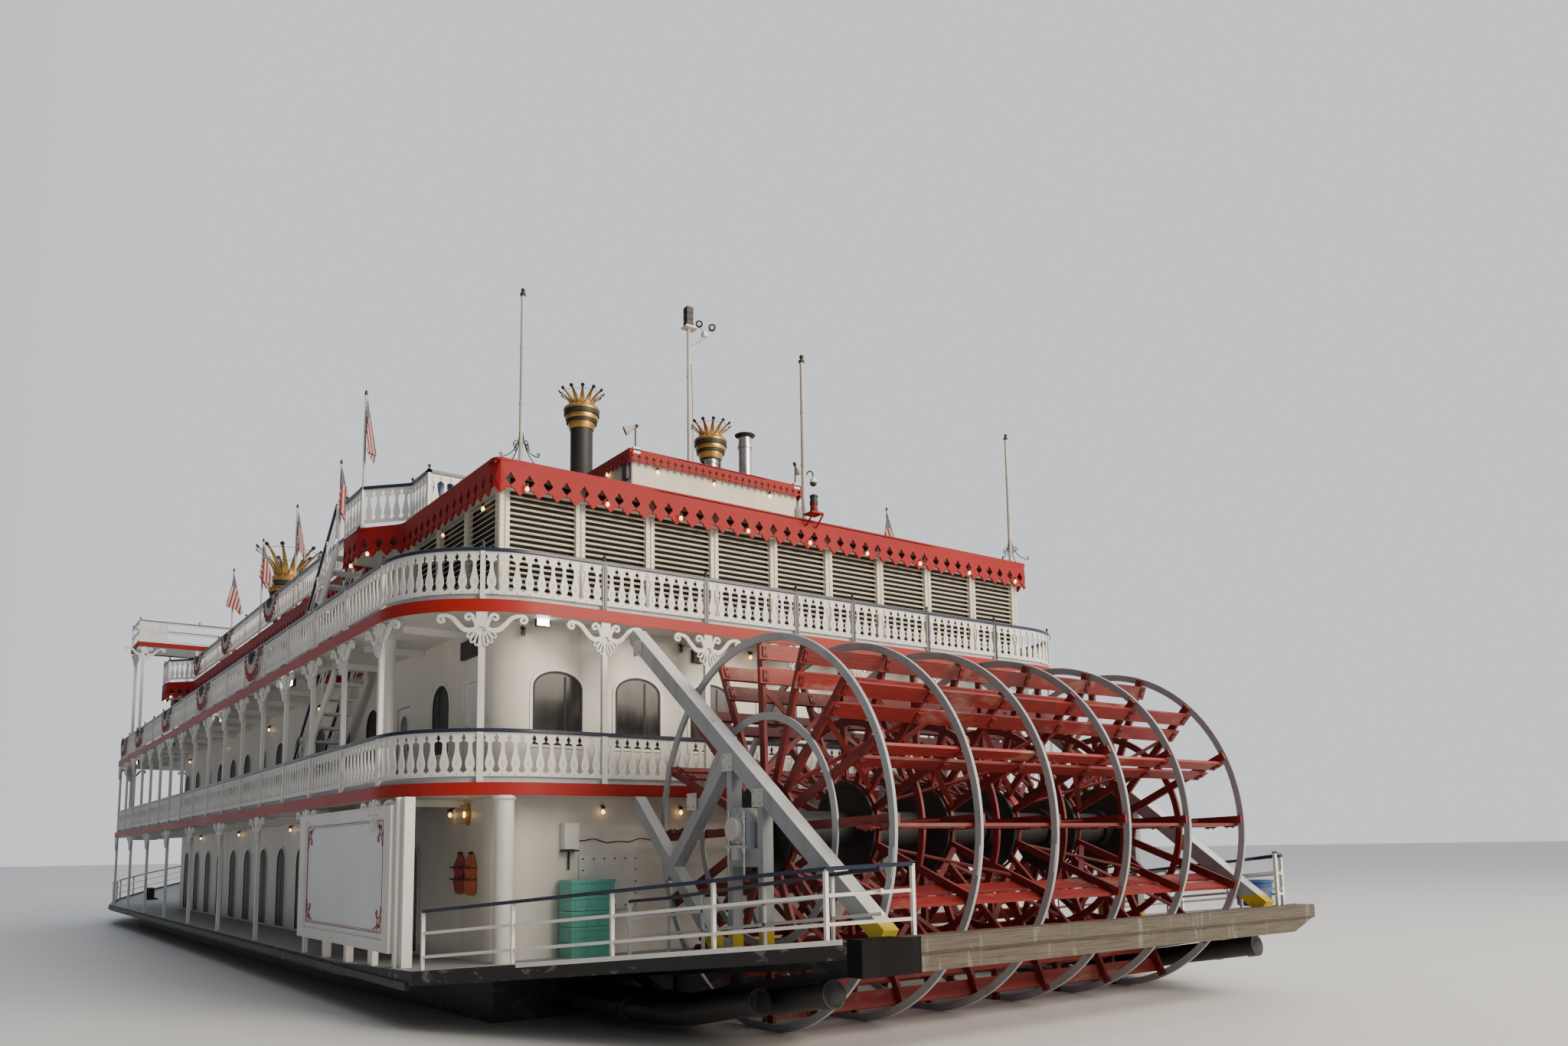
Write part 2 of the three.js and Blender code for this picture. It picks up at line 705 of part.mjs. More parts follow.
function makeRoofRails() {
  const porchPole = [porches[0][0] + 30, porchRailY];
  const aft = roofRail(roofRailAft, [porchPole]);
  const fore = roofRail(roofRailFore, flagpoles);
  piece('rail_roof_aft_port', aft, paint.white);
  piece('rail_roof_port', fore, paint.white);
  const link = roofRail([[porches[0][1] - 30, porchRailY], [porches[0][1] - 30, roofRailY], [-7430, roofRailY]], []);
  piece('rail_roof_starboard', mirrored(join([aft, link, fore])), paint.white);
}

// Rail that follows the round stern corners of a deck, with or without full posts.
const sternPostYs = [435, 1690, 2945, 4200];

function sternStrip(inset0, inset1, z0, z1) {
  const turn = (d) => {
    const full = deckOutline(deckAftX, deckForeX, halfBeam, deckCorner, 10, d, 6);
    const portAft = full.slice(-7);
    const starAft = full.slice(0, 7);
    return [[sideStartX - 40, halfBeam - d], ...portAft, ...starAft, [sideStartX - 40, -halfBeam + d]];
  };
  return plan([...turn(inset0), ...turn(inset1).reverse()], z0, z1);
}

function sternRail(z, tall) {
  const parts = [sternStrip(35, 65, z + panelLift, z + railHeight)];
  for (const y of sternPostYs.flatMap((v) => [v, -v])) {
    const x = deckAftX + 50 + (Math.abs(y) > 4000 ? 150 : 0);
    const half = tall ? postHalf : 20;
    const top = tall ? deck3Z - deckThick - seat : z + railHeight + finial;
    if (tall) {
      const side = bracketPoints.map(([d, drop]) => [half + (d === 30 ? 0 : d), top - drop]);
      const right = [...side, [430, top]];
      const board = [
        [half, z + seat], ...right.map(([d, h]) => [d, h]),
        ...right.slice().reverse().map(([d, h]) => [-d, h]), [-half, z + seat],
      ];
      parts.push(endOn(board.map(([d, h]) => [y + d, h]), x - 25, x + 25));
    } else {
      parts.push(box(x - half, x + half, y - half, y + half, z + seat, top));
    }
  }
  return join(parts);
}

function makeSternRails() {
  piece('stern_posts_deck_2', sternRail(deck2Z, true), paint.white);
}

// White pipe railing along the fantail's slanting edge.
function makeFantailRail() {
  const parts = [];
  const points = [0.03, 0.27, 0.5, 0.74, 0.97].map((f) => {
    const x = quarterX + (sternX + beamThick - quarterX) * f;
    const y = halfBeam - 60 + (beamHalf - halfBeam) * f;
    return [x, y, deckTop(x) + seat + 2];
  });
  for (const [x, y, z] of points) {
    parts.push(box(x - 18, x + 18, y - 18, y + 18, z, z + 480));
  }
  for (let i = 0; i + 1 < points.length; i += 1) {
    const [a, b] = [points[i], points[i + 1]];
    for (const h of [235, 465]) {
      parts.push(bar([a[0], a[1], a[2] + h], [b[0], b[1], b[2] + h], 26, 26));
    }
  }
  pair('fantail_rail', join(parts), paint.white);
}

// Grey box-beam frame that carries the wheel's bearing on each side.
function makeWheelTruss() {
  const y0 = trussY - trussBar / 2;
  const y1 = trussY + trussBar / 2;
  const bars = [
    sideBar([-13450, 4810], [-17250, 1900], trussBar, y0, y1),
    sideBar([-13480, 3090], [-15020, 1640], 120, y0 + 15, y1 - 15),
    sideBar([-14100, 2330], [-15200, 3440], 120, y0 + 15, y1 - 15),
    box(-15270, -15190, y0 + 20, y1 - 20, 1640, 3440),
    box(-15740, -15660, y0 + 20, y1 - 20, 1700, 3080),
    box(-15720, -15200, y0 + 10, y1 - 10, wheelZ - 330, wheelZ - 170),
    box(-15600, -15220, y0 - 20, y1 + 20, wheelZ - 190, wheelZ + 60),
    bar([wheelX, y0 - 20, wheelZ], [wheelX, y1 + 20, wheelZ], 380, 0, 24),
  ];
  let frame = join(bars);
  frame = frame.subtract(overDeck);
  const above = box(-13431, -13300, y0 - 50, y1 + 50, 1000, 6000);
  frame = frame.subtract(above);
  frame = frame.subtract(bar([wheelX, 2000, wheelZ], [wheelX, 3200, wheelZ], 2 * (journalR + pinGap), 0, 32));
  pair('wheel_truss', frame, paint.grey);
}

const journalR = 80;
const shaftR = 165;
const hubR = 440;
const armWide = 70;
const armWideHeavy = 78;
const armThick = 36;
const hubThick = 40;

// A ring in a plane of constant y about the wheel's shaft.
function wheelRing(r0, r1, y0, y1, sides) {
  const circle = (r) => arc(wheelX, wheelZ, r, armPhase, armPhase + 360 - 360 / sides, sides - 1);
  return profile(circle(r1), y0, y1).subtract(profile(circle(r0), y0 - 10, y1 + 10));
}

function makeWheel() {
  const shaft = [
    bar([wheelX, -2760, wheelZ], [wheelX, 2760, wheelZ], 2 * journalR, 0, 32),
    bar([wheelX, -2470, wheelZ], [wheelX, 2470, wheelZ], 2 * shaftR, 0, 16),
  ];
  for (const y of frameYs) {
    const inner = -Math.sign(y);
    const face = y + inner * (armThick / 2 + seat);
    shaft.push(bar([wheelX, face, wheelZ], [wheelX, face + inner * hubThick, wheelZ], 2 * hubR, 0, 16));
  }
  piece('wheel_shaft', join(shaft), paint.black);

  // The end frames and every eighth arm are heavier, and the boards are fastened there.
  const spin = (i) => 2 * Math.PI * i / armCount + THREE.MathUtils.degToRad(armPhase);
  const at = (r, t) => [wheelX + r * Math.cos(t), wheelZ + r * Math.sin(t)];
  const endFrame = Math.max(...frameYs);
  const parts = [];
  for (const y of frameYs) {
    const y0 = y - armThick / 2;
    const y1 = y + armThick / 2;
    for (let i = 0; i < armCount; i += 1) {
      const heavy = Math.abs(y) === endFrame || i % 8 === 0;
      parts.push(sideBar(at(190, spin(i)), at(wheelR - 15, spin(i)), heavy ? armWideHeavy : armWide, y0, y1));
    }
    parts.push(wheelRing(990, 1050, y0, y1, armCount));
  }
  const boards = [[1320, 1470], [1545, 1690]];
  const boardHalfSpan = 2440;
  const boardThick = 28;
  const shift = armWide / 2 + seat + boardThick / 2;
  for (let i = 0; i < armCount; i += 1) {
    const t = spin(i);
    const [nx, nz] = [-Math.sin(t) * shift, Math.cos(t) * shift];
    for (const [r0, r1] of boards) {
      const [a, b] = [at(r0, t), at(r1, t)];
      parts.push(sideBar([a[0] + nx, a[1] + nz], [b[0] + nx, b[1] + nz], boardThick, -boardHalfSpan, boardHalfSpan));
    }
  }
  piece('wheel_buckets', join(parts), paint.boardRed);

  frameYs.forEach((y, i) => {
    const outward = Math.sign(y);
    const y0 = y + outward * (armThick / 2 + seat);
    const y1 = y0 + outward * 20;
    piece(`wheel_ring_${i + 1}`, wheelRing(1700, wheelR, Math.min(y0, y1), Math.max(y0, y1), 2 * armCount), paint.grey);
  });
}

// A flared crown of radius r on a tube, its lower band at height z: bands, a bowl and ten spikes.
function crown(x, y, z, r) {
  const body = turned([
    [0, 0], [r * 0.8, 0], [r * 0.84, r * 0.3], [r * 0.7, r * 0.4], [r * 0.7, r * 0.55], [r * 0.92, r * 0.65],
    [r * 0.92, r * 0.85], [r * 0.8, r * 0.95], [r * 0.8, r * 1.1], [r, r * 1.2], [r * 0.96, r * 1.35],
    [r * 0.7, r * 1.5], [0, r * 1.5],
  ], x, y, z, 10);
  const spikes = Array.from({ length: 10 }, (_, i) => {
    const g = new THREE.ConeGeometry(r * 0.15, r * 1.2, 4);
    g.translate(0, r * 0.6, 0);
    g.rotateX(Math.PI / 2);
    g.rotateY(0.4);
    g.translate(r * 0.72, 0, r * 1.3);
    g.rotateZ(2 * Math.PI * i / 10);
    g.translate(x, y, z);
    return solid(g);
  });
  return join([body, ...spikes]);
}

const aftStack = { x: -9175, y: 1130, tubeR: 162, tubeTopZ: 8765, crownR: 265 };
const foreStack = { x: 2375, y: 2530, tubeR: 270, tubeTopZ: 8165, crownR: 440 };

function makeStacks() {
  const stack = ({ x, y, tubeR, tubeTopZ, crownR }, footZ) => join([
    bar([x, y, footZ + seat], [x, y, tubeTopZ + 20], 2 * tubeR, 0, 20),
    bar([x, y, footZ + seat], [x, y, footZ + 60], 2.5 * tubeR, 0, 20),
    crown(x, y, tubeTopZ, crownR),
  ]);
  pair('stack_aft', stack(aftStack, cabinTopZ + cabinRoofThick), paint.gold);
  pair('stack_forward', stack(foreStack, roofZ), paint.gold);
}

// A mast of radius r on a wider foot.
function mast(x, y, footZ, topZ, r) {
  return join([
    bar([x, y, footZ + seat], [x, y, topZ], 2 * r, 0, 10),
    bar([x, y, footZ + seat], [x, y, footZ + 100], 4 * r, 0, 10),
  ]);
}

function makeMasts() {
  const cabinRoofZ = cabinTopZ + cabinRoofThick;
  const poles = [
    ['mast_aft_port', -12980, 3710, roofZ, 8515, 28, paint.white],
    ['mast_aft_starboard', -12980, -3780, roofZ, 8515, 28, paint.white],
    ['mast_lantern', -12950, -50, roofZ, 8750, 34, paint.white],
    ['mast_antenna', -10200, -90, cabinRoofZ, 10540, 32, paint.white],
    ['steel_exhaust', -10120, -1140, cabinRoofZ, 8850, 100, paint.steel],
  ];
  for (const [name, x, y, footZ, topZ, r, finish] of poles) {
    piece(name, mast(x, y, footZ, topZ, r), finish);
  }
}

// A stair flight with closed strings, from its foot to its head, between two levels.
const stairSteps = 10;
const stringThick = 30;

function stair(footX, headX, z0, z1, y0, y1) {
  const run = (headX - footX) / stairSteps;
  const rise = (z1 - z0) / stairSteps;
  const ahead = Math.sign(run);
  const string = [
    [footX, z0], [footX + ahead * 160, z0], [headX, z1 - 140], [headX, z1], [headX - ahead * 60, z1],
    [footX, z0 + 120],
  ];
  const outline = ahead > 0 ? string : string.slice().reverse();
  const parts = [y0, y1 - stringThick].map((y) => profile(outline, y, y + stringThick));
  for (let i = 1; i < stairSteps; i += 1) {
    const [a, b] = [footX + (i - 0.5) * run, footX + (i + 0.7) * run];
    const z = z0 + i * rise;
    parts.push(box(Math.min(a, b), Math.max(a, b), y0 + 10, y1 - 10, z - 20, z + 5));
  }
  return join(parts);
}

function makeStairs() {
  piece('stair_to_deck_3', stair(-6930, -9030, deck2Z + seat, deck3Z - deckThick - seat, 4060, 4480), paint.white);
  piece('stair_to_roof', stair(
    -7150, porches[0][1] + seat, deck3Z + seat, roofZ - 30, roofHalf + 60, porchHalf - 20), paint.white);
}

function makeSign() {
  piece('sign_panel', box(-13200, -9400, railY + 25 + seat, halfBeam, 1640, 3060), paint.white);
}

makeHull();
makeRudders();
makeMainDeck();
makeFantail();
makeUnderFantail();
piece('deck_2', deckPlate(deck2Z), paint.red);
deckPlates3();
makeHouses();
makeLouvres();
makeHouse3();
makeRoof();
makeRoofHouse();
makePilothouse();
makeBridgeWings();
makeSides();
makeRoofRails();
makeSternRails();
makeFantailRail();
makeWheelTruss();
makeWheel();
makeStacks();
makeMasts();
makeStairs();
makeSign();

export default boat;
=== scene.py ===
"""Finishes and fine forms for a half-size model of a sternwheel excursion boat.

Metres, +X to the bow, +Y to port, +Z up, origin on the hull's flat bottom at mid length.
"""
import json
import math

import bpy
import numpy as np
from mathutils import Matrix, Vector
from mathutils.geometry import tessellate_polygon


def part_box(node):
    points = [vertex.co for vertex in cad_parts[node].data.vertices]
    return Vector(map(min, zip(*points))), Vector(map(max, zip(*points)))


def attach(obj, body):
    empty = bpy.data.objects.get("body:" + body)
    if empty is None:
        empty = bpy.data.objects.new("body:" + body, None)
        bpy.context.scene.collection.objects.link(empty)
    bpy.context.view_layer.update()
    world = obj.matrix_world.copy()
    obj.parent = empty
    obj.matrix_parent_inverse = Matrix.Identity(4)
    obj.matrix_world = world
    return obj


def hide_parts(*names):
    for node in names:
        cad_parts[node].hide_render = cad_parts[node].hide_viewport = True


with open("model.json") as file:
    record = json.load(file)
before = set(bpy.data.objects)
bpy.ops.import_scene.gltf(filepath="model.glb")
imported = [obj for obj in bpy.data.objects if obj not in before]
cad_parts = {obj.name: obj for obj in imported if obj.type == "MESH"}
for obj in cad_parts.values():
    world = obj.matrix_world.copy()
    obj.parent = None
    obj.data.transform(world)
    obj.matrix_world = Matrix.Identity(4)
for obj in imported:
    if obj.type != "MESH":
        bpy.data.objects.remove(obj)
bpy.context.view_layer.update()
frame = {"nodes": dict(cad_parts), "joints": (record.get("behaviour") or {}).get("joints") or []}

UP = np.array([0.0, 0.0, 1.0])
ATHWART = np.array([0.0, 1.0, 0.0])
AHEAD = np.array([1.0, 0.0, 0.0])


SIDES = ((1, "port"), (-1, "starboard"))


def corners(node):
    """Lowest and highest corner of a node as arrays."""
    return [np.array(corner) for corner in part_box(node)]


def both(name):
    """The port and starboard names of a pair of nodes."""
    return [f"{name}_{side}" for _, side in SIDES]


# Levels and edges read from the frame.
DECK2_LOW, DECK2_HIGH = corners("deck_2")
DECK3_LOW, DECK3_HIGH = corners("deck_3")
HOUSE_LOW, HOUSE_HIGH = corners("house_deck_2")
MAIN_DECK_Z = 1.46
DECK2_Z = DECK2_HIGH[2]
DECK3_Z = DECK3_HIGH[2]
ROOF_Z = 6.605
DECK_THICK = DECK3_HIGH[2] - DECK3_LOW[2]
DECK_AFT, DECK_FORE = DECK2_LOW[0], DECK2_HIGH[0]
HALF_BEAM = DECK2_HIGH[1]
CORNER_AFT, CORNER_FORE = 1.25, 1.2
HOUSE_CORNER = 0.35
RAIL_HEIGHT = 0.525
RAIL_INSET = 0.05
SIDE_PITCH = 1.32
SIDE_X = -12.13 + SIDE_PITCH * np.arange(17)
STERN_Y = np.array([0.435, 1.69, 2.945])
CORNER_POST_Y = 4.2
WATER_Z = 1.0
PLATE = 1.22
# The fantail deck rises aft from the main deck's after end.
FANTAIL_FORE, FANTAIL_FOOT, FANTAIL_SLOPE = -13.425, 1.54, 0.0968
YELLOW_BELOW = 0.37  # z + slope x under which the truss feet are yellow

wheel_joint = next(j for j in frame["joints"] if j["name"] == "paddle_wheel_turn")
WHEEL_X, _, WHEEL_Z = wheel_joint["pos_m"]
WHEEL_R = 1.77
ARM_COUNT = 16
ARM_PHASE = math.radians(-1.5)
FRAME_Y = np.array([-2.38, -1.428, -0.476, 0.476, 1.428, 2.38])


# Places.

def rows(x, y, z):
    """Places of a row: any of x, y and z may be an array."""
    x, y, z = np.broadcast_arrays(*(np.asarray(v, float) for v in (x, y, z)))
    return np.stack([x.ravel(), y.ravel(), z.ravel()], 1)


def raised(plan, z):
    """Plan points (n, 2) lifted to a level, one for all or one for each."""
    plan = np.asarray(plan, float)
    return np.column_stack([plan, np.broadcast_to(z, len(plan))])


def ring(count, r, z=0.0, phase=0.0):
    """Points evenly round an upright axis through the origin."""
    a = phase + 2 * np.pi * np.arange(count) / count
    return rows(r * np.cos(a), r * np.sin(a), z)


def grid_quads(n, m):
    """Quads over a grid of n by m points."""
    i, j = np.meshgrid(np.arange(n - 1), np.arange(m - 1), indexing="ij")
    a = i * m + j
    return np.stack([a, a + 1, a + m + 1, a + m], -1).reshape(-1, 4)


# Forms: each returns points (copies, v, 3) and a list of face index arrays for one copy.

def loft(rings, ring_closed=False, capped=True):
    """Skin over rings (..., n, m, 3): ring i at path step i, point j round the section, quads between
    neighbours and one flat face on each end. The section runs anticlockwise seen against the travel."""
    rings = np.asarray(rings, float)
    n, m = rings.shape[-3:-1]
    i, j = np.meshgrid(np.arange(n if ring_closed else n - 1), np.arange(m), indexing="ij")
    nxt = (i + 1) % n
    a, b, c, d = i * m + j, i * m + (j + 1) % m, nxt * m + (j + 1) % m, nxt * m + j
    faces = [np.stack([a, b, c, d], -1).reshape(-1, 4)]
    if capped and not ring_closed:
        faces += [np.arange(m)[None, ::-1], (n - 1) * m + np.arange(m)[None]]
    return rings.reshape(-1, n * m, 3), faces


def boxes(one, other):
    """Boxes between opposite corners (copies, 3), in any order."""
    one, other = np.broadcast_arrays(np.atleast_2d(one).astype(float), np.atleast_2d(other).astype(float))
    x0, y0, z0 = np.minimum(one, other).T
    x1, y1, z1 = np.maximum(one, other).T
    rings = [[np.stack(p, -1) for p in ((x0, y0, z), (x1, y0, z), (x1, y1, z), (x0, y1, z))]
             for z in (z0, z1)]
    return loft(np.moveaxis(np.array(rings), 2, 0))


def box_list(table, at=(0, 0, 0)):
    """Boxes from a table of x0, y0, z0, x1, y1, z1, moved to a place."""
    table = np.asarray(table, float)
    return boxes(table[:, :3] + at, table[:, 3:] + at)


def across(a, b, up=UP):
    """Unit travel and the two unit directions across it, for paths from a to b."""
    a, b = np.broadcast_arrays(np.atleast_2d(a).astype(float), np.atleast_2d(b).astype(float))
    t = b - a
    t = t / np.linalg.norm(t, axis=-1, keepdims=True)
    side = np.cross(np.broadcast_to(up, t.shape), t)
    long = np.linalg.norm(side, axis=-1, keepdims=True)
    side = np.where(long < 1e-6, np.array([1.0, 0.0, 0.0]), side / np.maximum(long, 1e-9))
    return a, b, t, side, np.cross(t, side)


def bars(a, b, wide, deep, up=UP):
    """Rectangular bars from a to b: wide across the travel and up, deep along up."""
    a, b, _, side, rise = across(a, b, up)
    wide, deep = (np.broadcast_to(v, len(a))[:, None] / 2 for v in (wide, deep))
    signs = [(-1, -1), (1, -1), (1, 1), (-1, 1)]
    rings = [[end + s * wide * side + r * deep * rise for s, r in signs] for end in (a, b)]
    return loft(np.moveaxis(np.array(rings), 2, 0))


def rods(a, b, r0, r1=None, sides=8):
    """Round rods from a to b, of radius r0 at a and r1 at b."""
    a, b, _, side, rise = across(a, b)
    r1 = r0 if r1 is None else r1
    t = 2 * np.pi * np.arange(sides) / sides
    turn = np.cos(t)[:, None, None] * side + np.sin(t)[:, None, None] * rise
    r0, r1 = (np.broadcast_to(v, len(a))[:, None] for v in (r0, r1))
    rings = np.stack([a + r0 * turn, b + r1 * turn])
    return loft(np.moveaxis(rings, 2, 0))


def turned(profile, places=(0, 0, 0), sides=16):
    """Lathe work about upright lines: (radius, height) pairs swept round at each place."""
    r, h = np.array(profile, float).T
    t = 2 * np.pi * np.arange(sides) / sides
    skin = np.stack([np.outer(r, np.cos(t)), np.outer(r, np.sin(t)), np.outer(h, np.ones(sides))], -1)
    return loft(skin[None] + np.atleast_2d(places).astype(float)[:, None, None, :])


def sweep(path, section, up=UP, ring_closed=False, scale=1.0):
    """A section (m, 2) carried along a path (n, 3): across = up x travel, then the rise.
    scale, one number for all or for each path point, swells or thins the section."""
    path = np.asarray(path, float)
    if ring_closed:
        t = np.roll(path, -1, 0) - np.roll(path, 1, 0)
    else:
        t = np.gradient(path, axis=0)
    t = t / np.linalg.norm(t, axis=1, keepdims=True)
    side = np.cross(np.broadcast_to(up, t.shape), t)
    long = np.linalg.norm(side, axis=1, keepdims=True)
    side = np.where(long < 1e-5, np.array([1.0, 0.0, 0.0]), side / np.maximum(long, 1e-9))
    u, w = np.array(section, float).T[..., None]
    shape = u * side[:, None] + w * np.cross(t, side)[:, None]
    rings = path[:, None] + np.broadcast_to(scale, len(path))[:, None, None] * shape
    return loft(rings[None], ring_closed)


def circle(r, sides=8):
    """Section points of a circle, anticlockwise."""
    t = 2 * np.pi * np.arange(sides) / sides
    return np.stack([r * np.cos(t), r * np.sin(t)], 1)


def block(wide, high, b=0.004):
    """Section points of a rectangle with small bevels b, centred, anticlockwise."""
    w, h = wide / 2, high / 2
    return [(b - w, -h), (w - b, -h), (w, b - h), (w, h - b),
            (w - b, h), (b - w, h), (-w, h - b), (-w, b - h)]


def ribbon(curve, half, thick):
    """A flat strip in the (u, w) plane: half wide each side of a curve (n, 2), thick along v."""
    curve = np.asarray(curve, float)
    t = np.gradient(curve, axis=0)
    t /= np.linalg.norm(t, axis=1, keepdims=True)
    n = np.stack([t[:, 1], -t[:, 0]], 1)
    half = np.broadcast_to(half, len(curve))[:, None]
    rings = []
    for s, v in ((-1, -1), (1, -1), (1, 1), (-1, 1)):
        p = curve + s * half * n
        rings.append(np.stack([p[:, 0], np.full(len(p), v * thick / 2), p[:, 1]], 1))
    return loft(np.stack(rings, 1)[None])


def spin_area(loop):
    """Twice the signed area of a plane loop."""
    x, y = loop.T
    return float(np.sum(x * np.roll(y, -1) - y * np.roll(x, -1)))


def sawn(outline, holes=(), thick=0.02, open_at=None):
    """A board cut to an outline in the (u, w) plane, with holes: two flat faces and the walls between.
    Walls where |u| equals open_at are left out, so that like boards join without inner faces."""
    loops = [np.asarray(outline, float)] + [np.asarray(h, float) for h in holes]
    loops = [lp if (spin_area(lp) > 0) == (k == 0) else lp[::-1] for k, lp in enumerate(loops)]
    flat = np.concatenate(loops)
    tris = np.array(tessellate_polygon([[Vector((p[0], p[1], 0)) for p in lp] for lp in loops]))
    p, q, r = (flat[tris[:, k]] for k in range(3))
    e, f = q - p, r - p
    area = e[:, 0] * f[:, 1] - e[:, 1] * f[:, 0]
    tris[area < 0] = tris[area < 0][:, ::-1]
    tris = tris[np.abs(area) > 1e-12]
    count = len(flat)
    start, walls = 0, []
    for lp in loops:
        a = start + np.arange(len(lp))
        walls.append(np.stack([a, start + (np.arange(len(lp)) + 1) % len(lp)], 1))
        start += len(lp)
    walls = np.concatenate(walls)
    if open_at is not None:
        ends = np.abs(np.abs(flat[walls][..., 0]) - open_at) < 1e-9
        walls = walls[~ends.all(1)]
    a, b = walls.T
    points = np.concatenate([
        np.stack([flat[:, 0], np.full(count, v), flat[:, 1]], 1) for v in (-thick / 2, thick / 2)])
    return points[None], [tris, tris[:, ::-1] + count, np.stack([a, a + count, b + count, b], 1)]


def slab(outline, low, high, holes=()):
    """A plan outline of (x, y) points carried from level low to high."""
    points, faces = sawn(outline, holes, high - low)
    u, v, w = points[0].T
    return np.stack([u, w, (low + high) / 2 - v], 1)[None], faces


def together(*forms):
    """Several one-copy forms as one form."""
    points, faces, shift = [], [], 0
    for p, fs in forms:
        points.append(p[0])
        faces += [f + shift for f in fs]
        shift += p.shape[1]
    return np.concatenate(points)[None], faces


def flipped(form, turn=(-1, 1, 1)):
    """A form with each axis multiplied by 1 or -1; in a mirror image the faces turn to keep pointing out."""
    points, faces = form
    return points * np.array(turn), [f[:, ::-1] for f in faces] if np.prod(turn) < 0 else faces


def moved(form, shift):
    """A form moved by each of the given shifts."""
    points, faces = form
    shift = np.atleast_2d(shift).astype(float)
    return (points[None] + shift[:, None, None]).reshape(-1, points.shape[1], 3), faces


def on_wall(form, place, out):
    """A form set on a wall: u level along it, v out of it, w up, from each place. out is the wall's
    outward direction."""
    points, faces = form
    out = np.asarray(out, float)
    turn = np.stack([np.cross(out, UP), out, UP])
    return moved((points @ turn, faces), place)


class Route:
    """A plan path with an outward side; form points (u, v, w) map to s + u along it, v outward, w up."""

    def __init__(self, points, ring_closed=True):
        path = np.asarray(points, float)
        if ring_closed:
            path = np.concatenate([path, path[:1]])
        step = np.diff(path, axis=0)
        run = np.linalg.norm(step, axis=1)
        keep = run > 1e-9
        path = np.concatenate([path[:1], path[1:][keep]])
        step, run = step[keep], run[keep]
        self.s = np.concatenate([[0], np.cumsum(run)])
        self.length = self.s[-1]
        out = np.stack([-step[:, 1], step[:, 0]], 1) / run[:, None]
        mid = (self.s[1:] + self.s[:-1]) / 2
        if ring_closed:
            mid = np.concatenate([[mid[-1] - self.length], mid, [mid[0] + self.length]])
            out = np.concatenate([out[-1:], out, out[:1]])
        else:
            mid = np.concatenate([[0], mid, [self.length]])
            out = np.concatenate([out[:1], out, out[-1:]])
        self.path, self.out, self.mid, self.closed = path, out, mid, ring_closed

    def at(self, s):
        """Place and unit outward direction at distance s."""
        s = np.mod(s, self.length) if self.closed else np.clip(s, 0, self.length)
        place = np.stack([np.interp(s, self.s, self.path[:, k]) for k in (0, 1)], -1)
        out = np.stack([np.interp(s, self.mid, self.out[:, k]) for k in (0, 1)], -1)
        return place, out / np.linalg.norm(out, axis=-1, keepdims=True)

    def lay(self, form, s, level, stretch=1.0):
        """Copies of a one-copy form with their middles at each s, lengthened by stretch."""
        points, faces = form
        u, v, w = points[0].T
        s = np.atleast_1d(s)[:, None] + u * np.broadcast_to(stretch, np.shape(np.atleast_1d(s)))[:, None]
        place, out = self.at(s)
        xy = place + v[:, None] * out
        z = np.broadcast_to(w + level, s.shape)
        return np.concatenate([xy, z[..., None]], -1), faces

    def near(self, xy):
        """Distance along the path of the point nearest to xy."""
        s = np.linspace(0, self.length, 40001)
        place, _ = self.at(s)
        return float(s[np.argmin(np.sum((place - np.asarray(xy)) ** 2, 1))])


def round_plan(aft, fore, half, corner_aft, corner_fore, steps=24):
    """Plan points of a deck with round corners, from the middle of the stern to port, so that the
    outward side is on the left: arcs of each corner's radius joined by straight edges."""
    t = np.linspace(0, np.pi / 2, steps + 1)
    ca, cf = corner_aft, corner_fore
    port_aft = np.stack([aft + ca - ca * np.cos(t), half - ca + ca * np.sin(t)], 1)
    port_fore = np.stack([fore - cf + cf * np.sin(t), half - cf + cf * np.cos(t)], 1)
    starboard = np.concatenate([port_aft, port_fore])[::-1] * [1, -1]
    return np.concatenate([[[aft, 0]], port_aft, port_fore, starboard])


